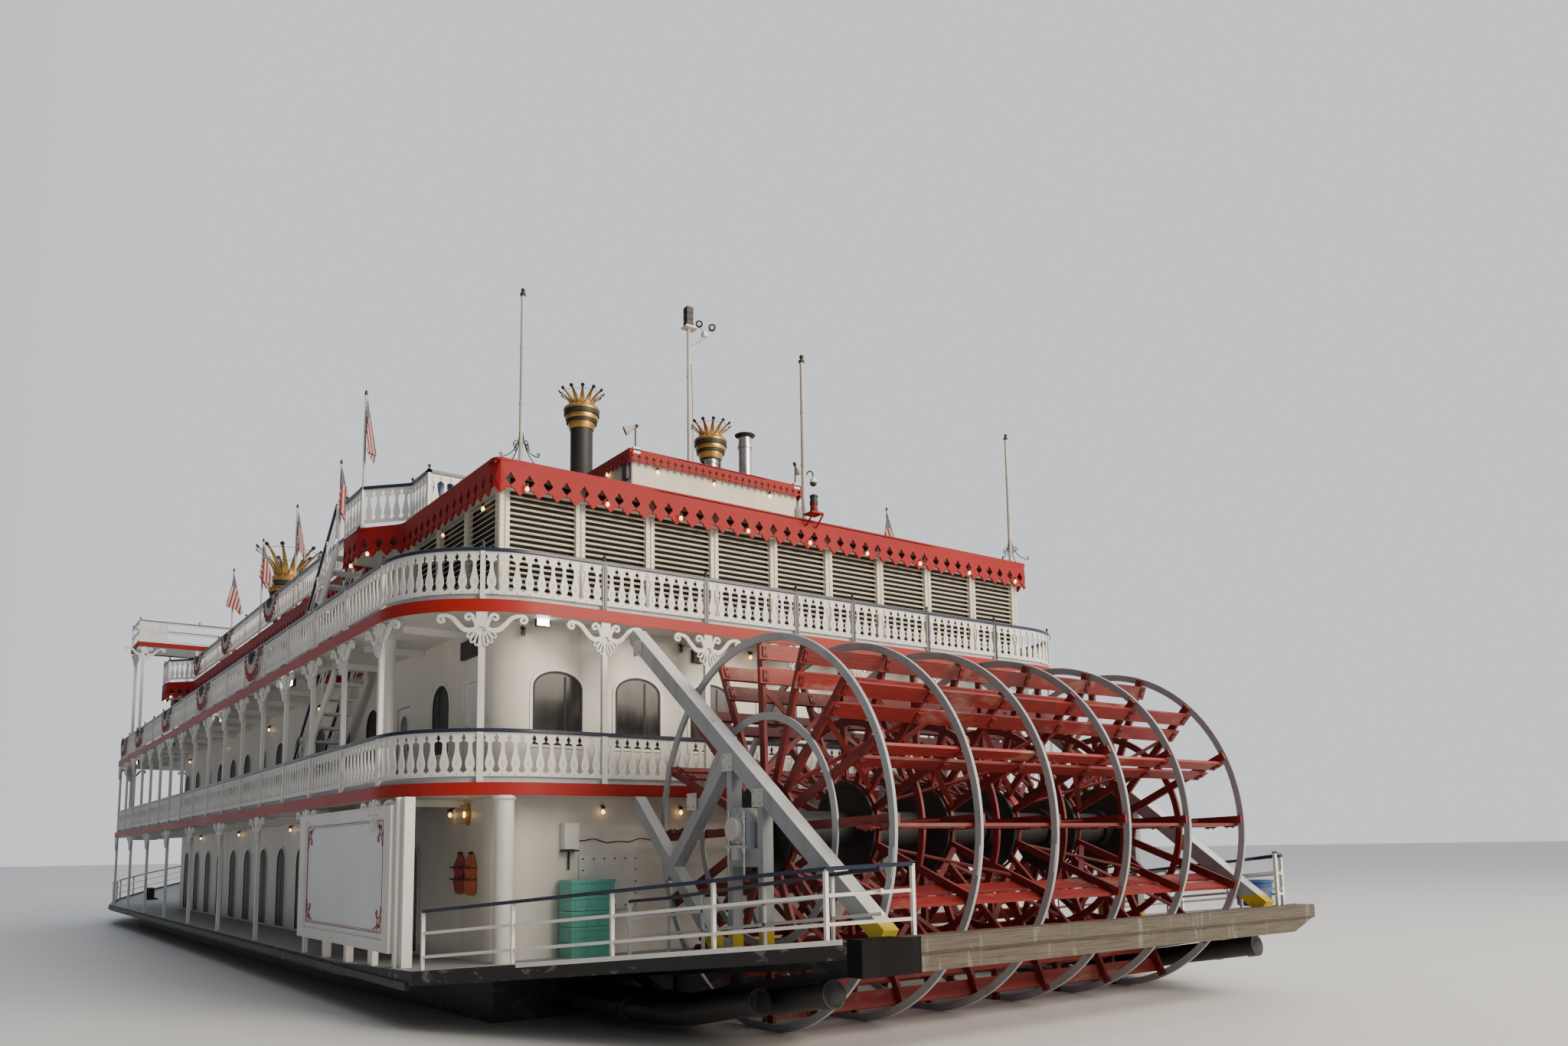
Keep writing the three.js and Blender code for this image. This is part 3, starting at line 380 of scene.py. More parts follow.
class Mesh:
    """Gathers forms into one mesh, with an optional number for each copy as the 'tint' attribute."""

    def __init__(self):
        self.points, self.faces, self.tints, self.size = [], {}, [], 0

    def add(self, form, tint=0.5):
        points, faces = form
        copies, v = points.shape[:2]
        shift = self.size + v * np.arange(copies)
        for f in faces:
            sides = f.shape[1]
            self.faces.setdefault(sides, []).append((f[None] + shift[:, None, None]).reshape(-1, sides))
        self.points.append(points.reshape(-1, 3))
        self.tints.append(np.repeat(np.broadcast_to(tint, copies), v))
        self.size += copies * v
        return self

    def wall_boxes(self, table, place, out):
        """Boxes from a table in a wall's own (u, v, w), set at each place."""
        return self.add(on_wall(box_list(table), place, out))

    def piece(self, name, finish, body="boat", replaces=(), smooth=0.0, marks=(), slot=None):
        """Makes the object with the finish's material; the slot argument has no effect. Edges flatter than
        smooth degrees are shaded round; marks are more numbers for each point, by attribute name."""
        mesh = bpy.data.meshes.new(name)
        points = np.concatenate(self.points)
        blocks = [np.concatenate(f) for f in self.faces.values()]
        loops = np.concatenate([b.ravel() for b in blocks])
        sizes = np.concatenate([np.full(len(b), b.shape[1]) for b in blocks])
        mesh.vertices.add(len(points))
        mesh.vertices.foreach_set("co", points.astype(np.float32).ravel())
        mesh.loops.add(len(loops))
        mesh.loops.foreach_set("vertex_index", loops.astype(np.int32))
        mesh.polygons.add(len(sizes))
        mesh.polygons.foreach_set("loop_start", np.concatenate([[0], np.cumsum(sizes)[:-1]]).astype(np.int32))
        mesh.update(calc_edges=True)
        for mark, values in {"tint": np.concatenate(self.tints), **dict(marks)}.items():
            layer = mesh.attributes.new(mark, "FLOAT", "POINT")
            layer.data.foreach_set("value", np.ravel(values).astype(np.float32))
        material, own_slot = FINISHES[finish]
        mesh.materials.append(material)
        if smooth:
            mesh.shade_smooth()
            mesh.set_sharp_from_angle(angle=math.radians(smooth))
        else:
            mesh.shade_flat()
        obj = bpy.data.objects.new(name, mesh)
        bpy.context.scene.collection.objects.link(obj)
        if body:
            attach(obj, body)
        if slot or own_slot:
            slot or own_slot
        if replaces:
            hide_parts(*replaces)
        return obj


# Shader tools.

class Sock:
    """One output socket. Arithmetic on it adds Math nodes to its tree."""

    def __init__(self, finish, socket):
        self.finish, self.socket = finish, socket

    def math(self, operation, *values):
        return self.finish.add("Math", dict(operation=operation), dict(enumerate(values)))

    def fract(self, count):
        """The fraction of the value times a count: a ramp from 0 to 1 in each part."""
        part = self * count
        return part.math("FRACT", part)

    def __add__(self, other):
        return self.math("ADD", self, other)

    def __sub__(self, other):
        return self.math("SUBTRACT", self, other)

    def __mul__(self, other):
        return self.math("MULTIPLY", self, other)

    def __rsub__(self, other):
        return self.math("SUBTRACT", other, self)

    __radd__, __rmul__ = __add__, __mul__

    def over(self, edge, blur=0.05):
        """1 where the value is above the edge, 0 below, blurred over a width."""
        return self.finish.add("MapRange", dict(interpolation_type="SMOOTHSTEP"), {
            "Value": self, "From Min": edge - blur, "From Max": edge + blur})

    def under(self, edge, blur=0.05):
        return 1 - self.over(edge, blur)

    def wave(self, pitch, duty):
        """1 on narrow lines a pitch apart, 0 between: the line's share of the pitch is duty."""
        part = self.fract(1 / pitch)
        return part.math("COMPARE", part, 0.5, duty / 2)


class Nodes:
    """A node tree, with the few patterns that the boat's finishes share."""

    def __init__(self, owner, where="Object"):
        owner.use_nodes = True
        self.tree = owner.node_tree
        self.tree.nodes.clear()
        self.where = self.add("TexCoord", out=where)

    def add(self, kind, settings=(), inputs=(), out=0):
        node = self.tree.nodes.new("ShaderNode" + kind)
        for key, value in dict(settings).items():
            setattr(node, key, value)
        for key, value in dict(inputs).items():
            if isinstance(value, Sock):
                self.tree.links.new(value.socket, node.inputs[key])
            else:
                node.inputs[key].default_value = value
        return Sock(self, node.outputs[out]) if node.outputs else None

    def axes(self, source=None):
        """The x, y and z of a vector, by default the place on the boat."""
        first = self.add("SeparateXYZ", (), {0: source or self.where})
        outputs = first.socket.node.outputs
        return [Sock(self, outputs[k]) for k in range(3)]

    def noise(self, scale, detail=3.0, stretch=(1, 1, 1), rough=0.55, source=None):
        """Cloudy noise about 0.5; stretch squeezes it along each axis."""
        place = self.add("Mapping", (), {"Vector": source or self.where, "Scale": stretch})
        return self.add("TexNoise", (), {
            "Vector": place, "Scale": scale, "Detail": detail, "Roughness": rough})

    def attribute(self, name):
        return self.add("Attribute", dict(attribute_name=name), out="Fac")

    def mix(self, a, b, share):
        """Colour a turning to colour b by a share from 0 to 1."""
        a, b = (colour if isinstance(colour, Sock) else (*colour, 1.0) for colour in (a, b))
        return self.add("Mix", dict(data_type="RGBA"), {0: share, 6: a, 7: b}, out=2)

    def dim(self, colour, amount):
        """A colour multiplied by a grey amount."""
        return self.add("VectorMath", dict(operation="SCALE"), {0: colour, "Scale": amount})

    def dots(self, u, across, v, down, size):
        """Rows of dots on a cloth: across by down of them over its two shares u and v."""
        a, b = u.fract(across) - 0.5, v.fract(down) - 0.5
        return (a * a + b * b).under(size, 0.02)

    def normal_z(self):
        """Upward part of the true surface direction."""
        geometry = self.add("NewGeometry", out="True Normal")
        return self.axes(geometry)[2]


class Finish(Nodes):
    """One material."""

    def __init__(self, name):
        self.material = bpy.data.materials.new(name)
        super().__init__(self.material)

    def done(self, colour, rough=0.5, bump=None, height=0.002, metal=0.0, **more):
        """Closes the tree with a Principled shader and returns the material."""
        shader = {"Roughness": rough, "Metallic": metal, **more}
        shader["Base Color"] = colour if isinstance(colour, Sock) else (*colour, 1.0)
        if bump is not None:
            shader["Normal"] = self.add("Bump", (), {"Height": bump, "Distance": height, "Strength": 1.0})
        surface = self.add("BsdfPrincipled", (), shader)
        self.add("OutputMaterial", (), {"Surface": surface})
        return self.material


def painted(name, colour, dark, rough=0.45, streak=0.5, rust=0.0, chalk=0.0, tint=0.0, gloss=0.5):
    """Brushed marine paint: broad cloudy fading, fine roller texture, streaks that run down from edges,
    rust blooms where the noise peaks, and painted light that turns faces that look up paler."""
    f = Finish(name)
    cloud = f.noise(0.7, 4)
    run = f.noise(5.0, 4, (1, 1, 0.12)).over(0.56, 0.14) * f.noise(0.9, 2).over(0.45, 0.2)
    speck = f.noise(60.0, 2)
    tone = f.mix(colour, dark, cloud.over(0.5, 0.35) * 0.35)
    tone = f.mix(tone, dark, run * streak)
    if tint:
        share = f.attribute("tint")
        tone = f.dim(tone, 1 - tint + share * (2 * tint))
    # Painted light: faces that look up are mixed towards a pale grey.
    if chalk:
        tone = f.mix(tone, (0.75, 0.73, 0.70), f.normal_z().over(0.6, 0.3) * chalk)
    if rust:
        bloom = f.noise(14.0, 6, (1, 1, 0.5), 0.7).over(0.66, 0.03) * rust
        tone = f.mix(tone, (0.22, 0.09, 0.035), bloom)
    return f.done(tone, speck * 0.12 + cloud * 0.15 + (rough - 0.13), speck + f.noise(9.0, 3) * 0.6, 0.0012,
                  **{"Specular IOR Level": gloss})


def house_white():
    """House plating: warm white, faint upright joints one plate apart, waviness between them,
    weather streaks below the deck heads."""
    f = Finish("house_white")
    x, y, _ = f.axes()
    joint = (x.wave(PLATE, 0.006) + y.wave(PLATE, 0.006)) * 0.5
    run = f.noise(3.0, 4, (1, 1, 0.10)).over(0.58, 0.16)
    cloud = f.noise(0.5, 3)
    tone = f.mix((0.765, 0.735, 0.67), (0.61, 0.56, 0.48), cloud.over(0.5, 0.35) * 0.5)
    tone = f.mix(tone, (0.40, 0.35, 0.29), run * 0.22 + joint * 0.35)
    relief = f.noise(1.6, 2) * 3.0 + f.noise(45.0, 2) * 0.15 - joint * 1.5
    return f.done(tone, cloud * 0.15 + 0.36, relief, 0.004)


def dark_glass(name, rough, gloss):
    """Tinted window glass: almost black, with faint curtains of lighter tone behind."""
    f = Finish(name)
    fold = f.noise(3.0, 3, (1, 1, 0.25))
    tone = f.mix((0.010, 0.011, 0.013), (0.055, 0.050, 0.044), fold.over(0.55, 0.12))
    return f.done(tone, rough, f.noise(0.8, 1), 0.003, **{"Specular IOR Level": gloss})


def gilded():
    """Gold leaf gone matt in patches, darker in the hollows."""
    f = Finish("gilt")
    patch = f.noise(7.0, 4)
    tone = f.mix((0.60, 0.36, 0.09), (0.30, 0.17, 0.05), patch.over(0.52, 0.15) * 0.7)
    return f.done(tone, patch * 0.3 + 0.22, f.noise(60.0, 2), 0.001, 0.85)


def stainless():
    """Brushed steel with fine upright grain and heat stain."""
    f = Finish("stainless")
    grain = f.noise(120.0, 2, (1, 1, 0.02))
    tone = f.mix((0.60, 0.60, 0.60), (0.35, 0.32, 0.29), f.noise(4.0, 3).over(0.6, 0.15) * 0.6)
    return f.done(tone, grain * 0.25 + 0.15, grain, 0.0006, 0.9)


def bucket_boards():
    """Wheel boards: red paint worn from the wood, grain along the board, dark wet streaks and pale
    mineral bloom, each board its own shade."""
    f = Finish("bucket_boards")
    share = f.attribute("tint")
    grain = f.noise(22.0, 5, (6, 0.25, 6), 0.65)
    wear = f.noise(2.2, 5, (1, 0.5, 1), 0.7)
    tone = f.mix((0.26, 0.017, 0.014), (0.13, 0.012, 0.010), grain.over(0.55, 0.2))
    tone = f.mix(tone, (0.33, 0.20, 0.15), (wear.over(0.60, 0.07) * grain.over(0.45, 0.2)) * 0.75)
    tone = f.mix(tone, (0.05, 0.03, 0.025), f.noise(1.1, 4, (1, 2, 1)).over(0.62, 0.1) * 0.5)
    tone = f.dim(tone, share * 0.7 + 0.65)
    return f.done(tone, wear * 0.3 + 0.35, grain + wear, 0.003)


def beam_timber():
    """Tan weathered stern beam: grain along the beam, pale drip stains and dark end checks."""
    f = Finish("beam_timber")
    grain = f.noise(18.0, 6, (3, 0.12, 5), 0.7)
    drip = f.noise(9.0, 3, (1, 1, 0.15)).over(0.63, 0.05)
    tone = f.mix((0.110, 0.088, 0.060), (0.050, 0.041, 0.030), grain.over(0.52, 0.15))
    tone = f.mix(tone, (0.24, 0.22, 0.18), drip * 0.45)
    _, _, z = f.axes()
    seam = z.math("COMPARE", z, 1.80, 0.005) + z.math("COMPARE", z, 1.905, 0.003) * 0.6
    tone = f.mix(tone, (0.02, 0.018, 0.015), seam)
    return f.done(tone, grain * 0.2 + 0.6, grain - seam * 1.5, 0.006)


def hull_black():
    """Hull: black topsides with grey scuffs and rust, dark red below the waterline."""
    f = Finish("hull_black")
    _, _, z = f.axes()
    scuff = f.noise(3.0, 6, (0.5, 0.5, 2.0), 0.7)
    tone = f.mix((0.013, 0.013, 0.015), (0.10, 0.10, 0.105), scuff.over(0.6, 0.08) * 0.6)
    tone = f.mix(tone, (0.16, 0.035, 0.022), z.under(WATER_Z - 0.05, 0.01))
    tone = f.mix(tone, (0.22, 0.10, 0.04), f.noise(8.0, 6, (1, 1, 0.4), 0.7).over(0.66, 0.03) * 0.7)
    return f.done(tone, scuff * 0.3 + 0.35, scuff, 0.004)


def truss_paint():
    """Light grey truss paint with painted light that makes the faces that look up much paler, with rust
    blooms and feet that are yellow up to 0.13 above the fantail deck."""
    f = Finish("truss_grey")
    x, _, z = f.axes()
    run = f.noise(5.0, 4, (1, 1, 0.15)).over(0.58, 0.12)
    tone = f.mix((0.36, 0.39, 0.42), (0.24, 0.25, 0.26), run * 0.5)
    # Painted light: faces that look up turn most of the way to a pale grey.
    tone = f.mix(tone, (0.66, 0.67, 0.66), f.normal_z().over(0.3, 0.25) * 0.8)
    tone = f.mix(tone, (0.62, 0.46, 0.02), (z + x * FANTAIL_SLOPE).under(YELLOW_BELOW, 0.004))
    tone = f.mix(tone, (0.20, 0.09, 0.04), f.noise(12.0, 6, (1, 1, 0.5), 0.7).over(0.67, 0.03) * 0.7)
    return f.done(tone, f.noise(40.0, 2) * 0.15 + 0.35, f.noise(50.0, 2), 0.001)


def weave(f):
    """Fine cloth weave from two crossed sets of threads."""
    x, y, z = f.axes()
    return (x + y).math("SINE", (x + y) * 2400.0) * z.math("SINE", z * 2400.0)


def flag_cloth():
    """Thirteen red and white stripes, a blue corner with rows of white dots, faded and creased."""
    f = Finish("flag_cloth")
    fly, hoist = f.attribute("fly"), f.attribute("hoist")
    stripe = hoist.fract(6.5).under(0.5, 0.02)
    tone = f.mix((0.52, 0.48, 0.46), (0.27, 0.008, 0.014), stripe)
    corner = fly.under(0.40, 0.004) * hoist.under(0.538, 0.006)
    stars = f.mix((0.010, 0.016, 0.07), (0.55, 0.54, 0.54), f.dots(fly, 25.0, hoist, 16.0, 0.07))
    tone = f.mix(tone, stars, corner)
    tone = f.mix(tone, (0.30, 0.26, 0.23), f.noise(5.0, 4).over(0.6, 0.15) * 0.3)
    return f.done(tone, f.noise(30.0, 2) * 0.1 + 0.78, weave(f), 0.0006, **{"Sheen Weight": 0.3})


def bunting_cloth():
    """Fan bunting: a starred blue heart, a white ring and a red rim, shaded in the pleats."""
    f = Finish("bunting_cloth")
    ring, turn = f.attribute("ring"), f.attribute("turn")
    tone = f.mix((0.55, 0.52, 0.50), (0.26, 0.008, 0.014), ring.over(0.72, 0.008))
    stars = f.mix((0.012, 0.020, 0.09), (0.55, 0.53, 0.52), f.dots(turn, 13.0, ring, 7.0, 0.06))
    tone = f.mix(tone, stars, ring.under(0.44, 0.008))
    tone = f.mix(tone, (0.28, 0.24, 0.21), f.noise(4.0, 4).over(0.58, 0.15) * 0.3)
    return f.done(tone, f.noise(30.0, 2) * 0.1 + 0.78, weave(f), 0.0006, **{"Sheen Weight": 0.3})


def jacket_cloth(name, colour):
    """Woven nylon of a jacket, faded in patches."""
    f = Finish(name)
    faded = [0.6 * c for c in colour]
    tone = f.mix(colour, faded, f.noise(7.0, 4).over(0.55, 0.2) * 0.5)
    return f.done(tone, 0.7, weave(f) + f.noise(14.0, 3) * 2.0, 0.001, **{"Sheen Weight": 0.3})


def deck_slab():
    """Upper deck plates: red edge band, grey walking surface on top, white soffit below with beams' shade."""
    f = Finish("deck_slab")
    up = f.normal_z()
    run = f.noise(5.0, 4, (1, 1, 0.2)).over(0.58, 0.12)
    edge = f.mix((0.30, 0.011, 0.009), (0.20, 0.020, 0.016), run * 0.5)
    top = f.mix((0.245, 0.262, 0.28), (0.19, 0.20, 0.21), f.noise(1.1, 7, rough=0.7).over(0.5, 0.3))
    below = f.mix((0.70, 0.68, 0.64), (0.50, 0.47, 0.42), f.noise(1.0, 3).over(0.5, 0.3))
    tone = f.mix(f.mix(edge, top, up.over(0.5, 0.1)), below, up.under(-0.5, 0.1))
    return f.done(tone, f.noise(20.0, 2) * 0.2 + 0.36, f.noise(70.0, 2), 0.001)


def deck_grey():
    """Main deck: grey non-slip top, black edge, wear paths."""
    f = Finish("deck_grey")
    up = f.normal_z()
    wear = f.noise(1.1, 8, rough=0.72)
    x, y, _ = f.axes()
    seam = x.wave(2 * PLATE, 0.004) + (y + PLATE / 2).wave(PLATE, 0.007)
    top = f.mix((0.255, 0.275, 0.295), (0.33, 0.335, 0.33), wear.over(0.56, 0.25))
    top = f.mix(top, (0.17, 0.15, 0.13), f.noise(2.3, 7, rough=0.7).over(0.64, 0.08) * 0.35 + seam * 0.3)
    edge = f.mix((0.016, 0.016, 0.018), (0.20, 0.20, 0.20), f.noise(6.0, 5, (1, 1, 2)).over(0.62, 0.05) * 0.6)
    return f.done(f.mix(edge, top, up.over(0.5, 0.1)), wear * 0.2 + 0.5, f.noise(80.0, 2), 0.0015)


def glowing(name, colour, strength):
    """A lit lamp face with a slightly darker rim of noise."""
    f = Finish(name)
    glow = f.mix(colour, [0.8 * c for c in colour], f.noise(30.0, 2))
    return f.done(colour, 0.3, **{"Emission Color": glow, "Emission Strength": strength})


def pale_floor():
    """The studio floor: matt, almost even."""
    f = Finish("pale_floor")
    return f.done(f.mix((0.74, 0.74, 0.73), (0.70, 0.70, 0.69), f.noise(0.4, 2)), 0.55)


# Each finish and the name of its material slot.
FINISHES = {
    "white": (painted("white_trim", (0.80, 0.79, 0.76), (0.52, 0.49, 0.44), 0.42, 0.25, 0.12), "white_paint"),
    "ceiling": (painted("ceiling_white", (0.62, 0.61, 0.58), (0.44, 0.42, 0.38), 0.5, 0.1), "white_paint"),
    "toe": (painted("toe_grey", (0.52, 0.55, 0.57), (0.33, 0.33, 0.32), 0.5, 0.5), "white_paint"),
    "mast": (painted("mast_white", (0.62, 0.59, 0.53), (0.30, 0.27, 0.22), 0.5, 0.5, 0.5), "white_paint"),
    "bearing": (painted("bearing_white", (0.66, 0.66, 0.64), (0.36, 0.35, 0.33), 0.45, 0.5, 0.3),
                "white_paint"),
    "panel": (painted("panel_white", (0.72, 0.75, 0.78), (0.55, 0.56, 0.57), 0.35, 0.2), "white_paint"),
    "house": (house_white(), "white_paint"),
    "cream": (painted("cream_louvre", (0.74, 0.69, 0.58), (0.44, 0.39, 0.30), 0.5, 0.3, tint=0.08),
              "cream_paint"),
    "horn": (painted("horn_beige", (0.50, 0.46, 0.36), (0.32, 0.29, 0.22), 0.5, 0.4), "cream_paint"),
    "red": (painted("fascia_red", (0.315, 0.011, 0.013), (0.21, 0.014, 0.014), 0.55, 0.3, chalk=0.02,
                    gloss=0.22),
            "red_paint"),
    "band": (painted("band_red", (0.36, 0.012, 0.009), (0.25, 0.022, 0.014), 0.42, 0.3, gloss=0.3),
             "red_paint"),
    "scroll_red": (painted("scroll_red", (0.30, 0.02, 0.03), (0.2, 0.02, 0.02), 0.45), "red_paint"),
    "arm_red": (painted("arm_red", (0.20, 0.014, 0.014), (0.08, 0.014, 0.012), 0.5, 0.6, 0.6, chalk=0.06),
                "bucket_paint"),
    "boards": (bucket_boards(), "bucket_paint"),
    "navy": (painted("navy_caps", (0.010, 0.016, 0.045), (0.05, 0.06, 0.08), 0.28, 0.3), "navy_paint"),
    "blue": (painted("drum_blue", (0.015, 0.075, 0.28), (0.02, 0.05, 0.14), 0.35, 0.3, chalk=0.2),
             "navy_paint"),
    "grey": (painted("ring_grey", (0.41, 0.44, 0.47), (0.24, 0.24, 0.23), 0.40, 0.5, 0.5, chalk=0.15),
             "grey_paint"),
    "teal": (painted("crate_teal", (0.15, 0.51, 0.41), (0.10, 0.34, 0.28), 0.4, 0.4, chalk=0.3),
             "grey_paint"),
    "truss": (truss_paint(), "grey_paint"),
    "black": (painted("stack_black", (0.014, 0.014, 0.016), (0.05, 0.045, 0.04), 0.55, 0.4, 0.2),
              "black_paint"),
    "cheek": (painted("cheek_black", (0.006, 0.006, 0.007), (0.02, 0.019, 0.018), 0.75, 0.4, 0.2, gloss=0.08),
              "black_paint"),
    # Painted shade: the dark sheets behind the louvre slats.
    "liner": (painted("dark_liner", (0.040, 0.032, 0.026), (0.020, 0.017, 0.014), 0.7, 0.3), "black_paint"),
    "frame_dark": (painted("window_frame", (0.018, 0.015, 0.013), (0.035, 0.03, 0.025), 0.45, 0.2,
                           gloss=0.25),
                   "black_paint"),
    "hull": (hull_black(), "black_paint"),
    "deck_grey": (deck_grey(), "deck_paint"),
    "deck_edge": (deck_slab(), "red_paint"),
    "beam": (beam_timber(), "beam_timber"),
    "gold": (gilded(), "gilt"),
    "steel": (stainless(), "steel"),
    "glass": (dark_glass("window_glass", 0.16, 0.4), "glass"),
    "shade_glass": (dark_glass("shaded_glass", 0.42, 0.15), "glass"),
    "bulb": (glowing("warm_bulb", (1.0, 0.58, 0.20), 6.0), "glass"),
    "amber": (painted("unlit_bulb", (0.20, 0.10, 0.04), (0.10, 0.05, 0.02), 0.25), "glass"),
    "lamp_white": (glowing("flood_face", (0.95, 1.0, 0.95), 14.0), "glass"),
    "flag": (flag_cloth(), "flag_cloth"),
    "bunting": (bunting_cloth(), "flag_cloth"),
    "jacket_orange": (jacket_cloth("jacket_orange", (0.95, 0.17, 0.03)), "flag_cloth"),
    "jacket_red": (jacket_cloth("jacket_red", (0.60, 0.035, 0.025)), "flag_cloth"),
    "floor": (pale_floor(), None),
}


# Railings.

def edge(inset):
    """The upper decks' edge moved in by inset, from the middle of the stern round to port."""
    return Route(round_plan(DECK_AFT + inset, DECK_FORE - inset, HALF_BEAM - inset,
                            CORNER_AFT - inset, CORNER_FORE - inset))


RAIL_LINE = edge(RAIL_INSET)
BALUSTER_PITCH = 0.122
BALUSTER_THICK = 0.012
CAP_WIDE, CAP_HIGH = 0.05, 0.036
# Half width of a sawn baluster as a share of half the pitch, by height above the deck.
BALUSTER_SHAPE = [
    (0.060, 1.0), (0.094, 1.0), (0.108, 0.66), (0.122, 0.42), (0.140, 0.56), (0.165, 0.70), (0.200, 0.72),
    (0.235, 0.58), (0.280, 0.38), (0.330, 0.27), (0.376, 0.27), (0.390, 0.36), (0.405, 0.86),
    (0.432, 0.60), (0.478, 1.0), (0.494, 1.0)]


def baluster():
    """One pitch of sawn railing: the outline follows BALUSTER_SHAPE up one side and down the other, with
    four small wedges cut in the belly and one in the bottom board."""
    half = BALUSTER_PITCH / 2
    right = [(share * half, h) for h, share in BALUSTER_SHAPE]
    outline = right + [(-u, h) for u, h in right[::-1]]
    r, d, mid = 0.0075, 0.020, 0.186
    holes = [[(-r, mid + d - 0.006), (r, mid + d - 0.006), (0, mid + d + 0.008)],
             [(-r, mid - d + 0.006), (0, mid - d - 0.008), (r, mid - d + 0.006)],
             [(0.010, mid - r), (0.021, mid), (0.010, mid + r)],
             [(-0.010, mid - r), (-0.010, mid + r), (-0.021, mid)],
             [(-0.008, 0.077), (0, 0.070), (0.008, 0.077), (0, 0.086)]]
    return sawn(outline, holes, BALUSTER_THICK, half)


def finial():
    """Profile of a navy rail finial: collar, waist and ball."""
    ball = [(0.019 * math.sin(a), 0.052 - 0.019 * math.cos(a)) for a in np.linspace(0.5, 2.9, 7)]
    return [(0.022, 0.0), (0.022, 0.010), (0.012, 0.018), (0.009, 0.034), *ball]


def fill_bays(stations, clear, pitch, length=None):
    """Equal modules between posts: their middles along the route and how much each is stretched.
    A closed route gives its length, for the bay that crosses its start."""
    after = stations[1:] if length is None else np.append(stations[1:], stations[0] + length)
    stations = stations[:len(after)]
    room = after - stations - 2 * clear
    count = np.maximum(1, np.round(room / pitch)).astype(int)
    step = room / count
    mids = np.concatenate([a + clear + w * (np.arange(n) + 0.5) for a, w, n in zip(stations, step, count)])
    return mids, np.repeat(step / pitch, count)


def loop_stations(line, points):
    """Distances of port posts along a symmetric loop, with their starboard twins, in order."""
    port = np.array([line.near(p) for p in points])
    return np.concatenate([port, (line.length - port)[::-1]])


SIDE_LINE_Y = HALF_BEAM - RAIL_INSET
POST_PLACES = ([(DECK_AFT + RAIL_INSET, y) for y in STERN_Y] + [(DECK_AFT + 0.2, CORNER_POST_Y)]
               + [(x, SIDE_LINE_Y) for x in SIDE_X] + [(9.85, 4.5)]
               + [(DECK_FORE - RAIL_INSET, y) for y in STERN_Y[::-1]])
STATIONS = loop_stations(RAIL_LINE, POST_PLACES)


def lay_strip(mesh, line, section, level, out=0.0, step=0.1):
    """A moulding of a section (out, up) carried all the way along a closed line."""
    place, normal = line.at(np.arange(0, line.length, step))
    mesh.add(sweep(raised(place + out * normal, level)[::-1], section, ring_closed=True))


# Post brackets: scrolls and a fan of loops, in the (u, w) plane below the deck head.

def spiral(centre, r0, r1, a0, a1, steps):
    """Points on a spiral: the radius runs evenly from r0 to r1 while the angle runs from a0 to a1 degrees."""
    t = np.linspace(0, 1, steps)
    a = np.radians(a0 + (a1 - a0) * t)
    r = r0 + (r1 - r0) * t
    return np.stack([centre[0] + r * np.cos(a), centre[1] + r * np.sin(a)], 1)


def curve_through(points, steps):
    """Smooth curve through a few points: each span is a cubic whose end slopes come from its neighbours."""
    p = np.asarray(points, float)
    ends = np.concatenate([[2 * p[0] - p[1]], p, [2 * p[-1] - p[-2]]])
    t = np.linspace(0, 1, steps, endpoint=False)[:, None]
    a, b, c, d = ends[:-3], ends[1:-2], ends[2:-1], ends[3:]
    spans = [0.5 * (2 * b[k] + (c[k] - a[k]) * t + (2 * a[k] - 5 * b[k] + 4 * c[k] - d[k]) * t ** 2
                    + (3 * b[k] - a[k] - 3 * c[k] + d[k]) * t ** 3) for k in range(len(p) - 1)]
    return np.concatenate([*spans, p[-1:]])


def bracket():
    """Right half: a long arm that ends in a scroll, a second scroll by the post, three petal loops."""
    end_scroll = spiral((0.385, -0.072), 0.044, 0.012, 115, -290, 15)
    arm = curve_through([(0.030, -0.150), (0.070, -0.178), (0.125, -0.188), (0.175, -0.168), (0.225, -0.118),
                         (0.275, -0.062), (0.325, -0.036)], 3)
    arm = np.concatenate([arm, end_scroll])
    wide = np.interp(np.arange(len(arm)), [0, 6, 14, 19, len(arm) - 1], [0.018, 0.024, 0.021, 0.016, 0.010])
    inner = np.concatenate([curve_through([(0.040, -0.175), (0.052, -0.130), (0.066, -0.088)], 3),
                            spiral((0.122, -0.062), 0.046, 0.010, 195, -190, 15)])
    inner_wide = np.interp(np.arange(len(inner)), [0, 6, len(inner) - 1], [0.014, 0.017, 0.009])
    forms = [ribbon(arm, wide, 0.028), ribbon(inner, inner_wide, 0.026)]
    roots = [(0.046, -0.170), (0.036, -0.190), (0.026, -0.205)]
    tips = [(0.132, -0.255), (0.096, -0.308), (0.048, -0.338)]
    for k, (root, tip) in enumerate(zip(np.array(roots), np.array(tips))):
        t = np.linspace(0.12, 2 * np.pi - 0.12, 12)
        along = tip - root
        aside = np.array([-along[1], along[0]]) / np.hypot(*along)
        reach = (1 - np.cos(t)) / 2
        loop = root + reach[:, None] * along + (0.026 * np.sin(t) * (0.35 + 0.65 * reach))[:, None] * aside
        forms.append(ribbon(loop, 0.0068, 0.022 - 0.001 * k))
    return together(*forms)


STEM = boxes([[-0.052, -0.0135, -0.15], [-0.036, -0.0135, -0.21], [-0.016, 0.0135, -0.20]],
             [[0.052, 0.0135, 0.0], [0.036, 0.0135, -0.15], [0.016, 0.019, -0.01]])
BRACKET = together(bracket(), flipped(bracket()), STEM)
BRACKET_OUT = 0.03
POST_HALF = 0.03


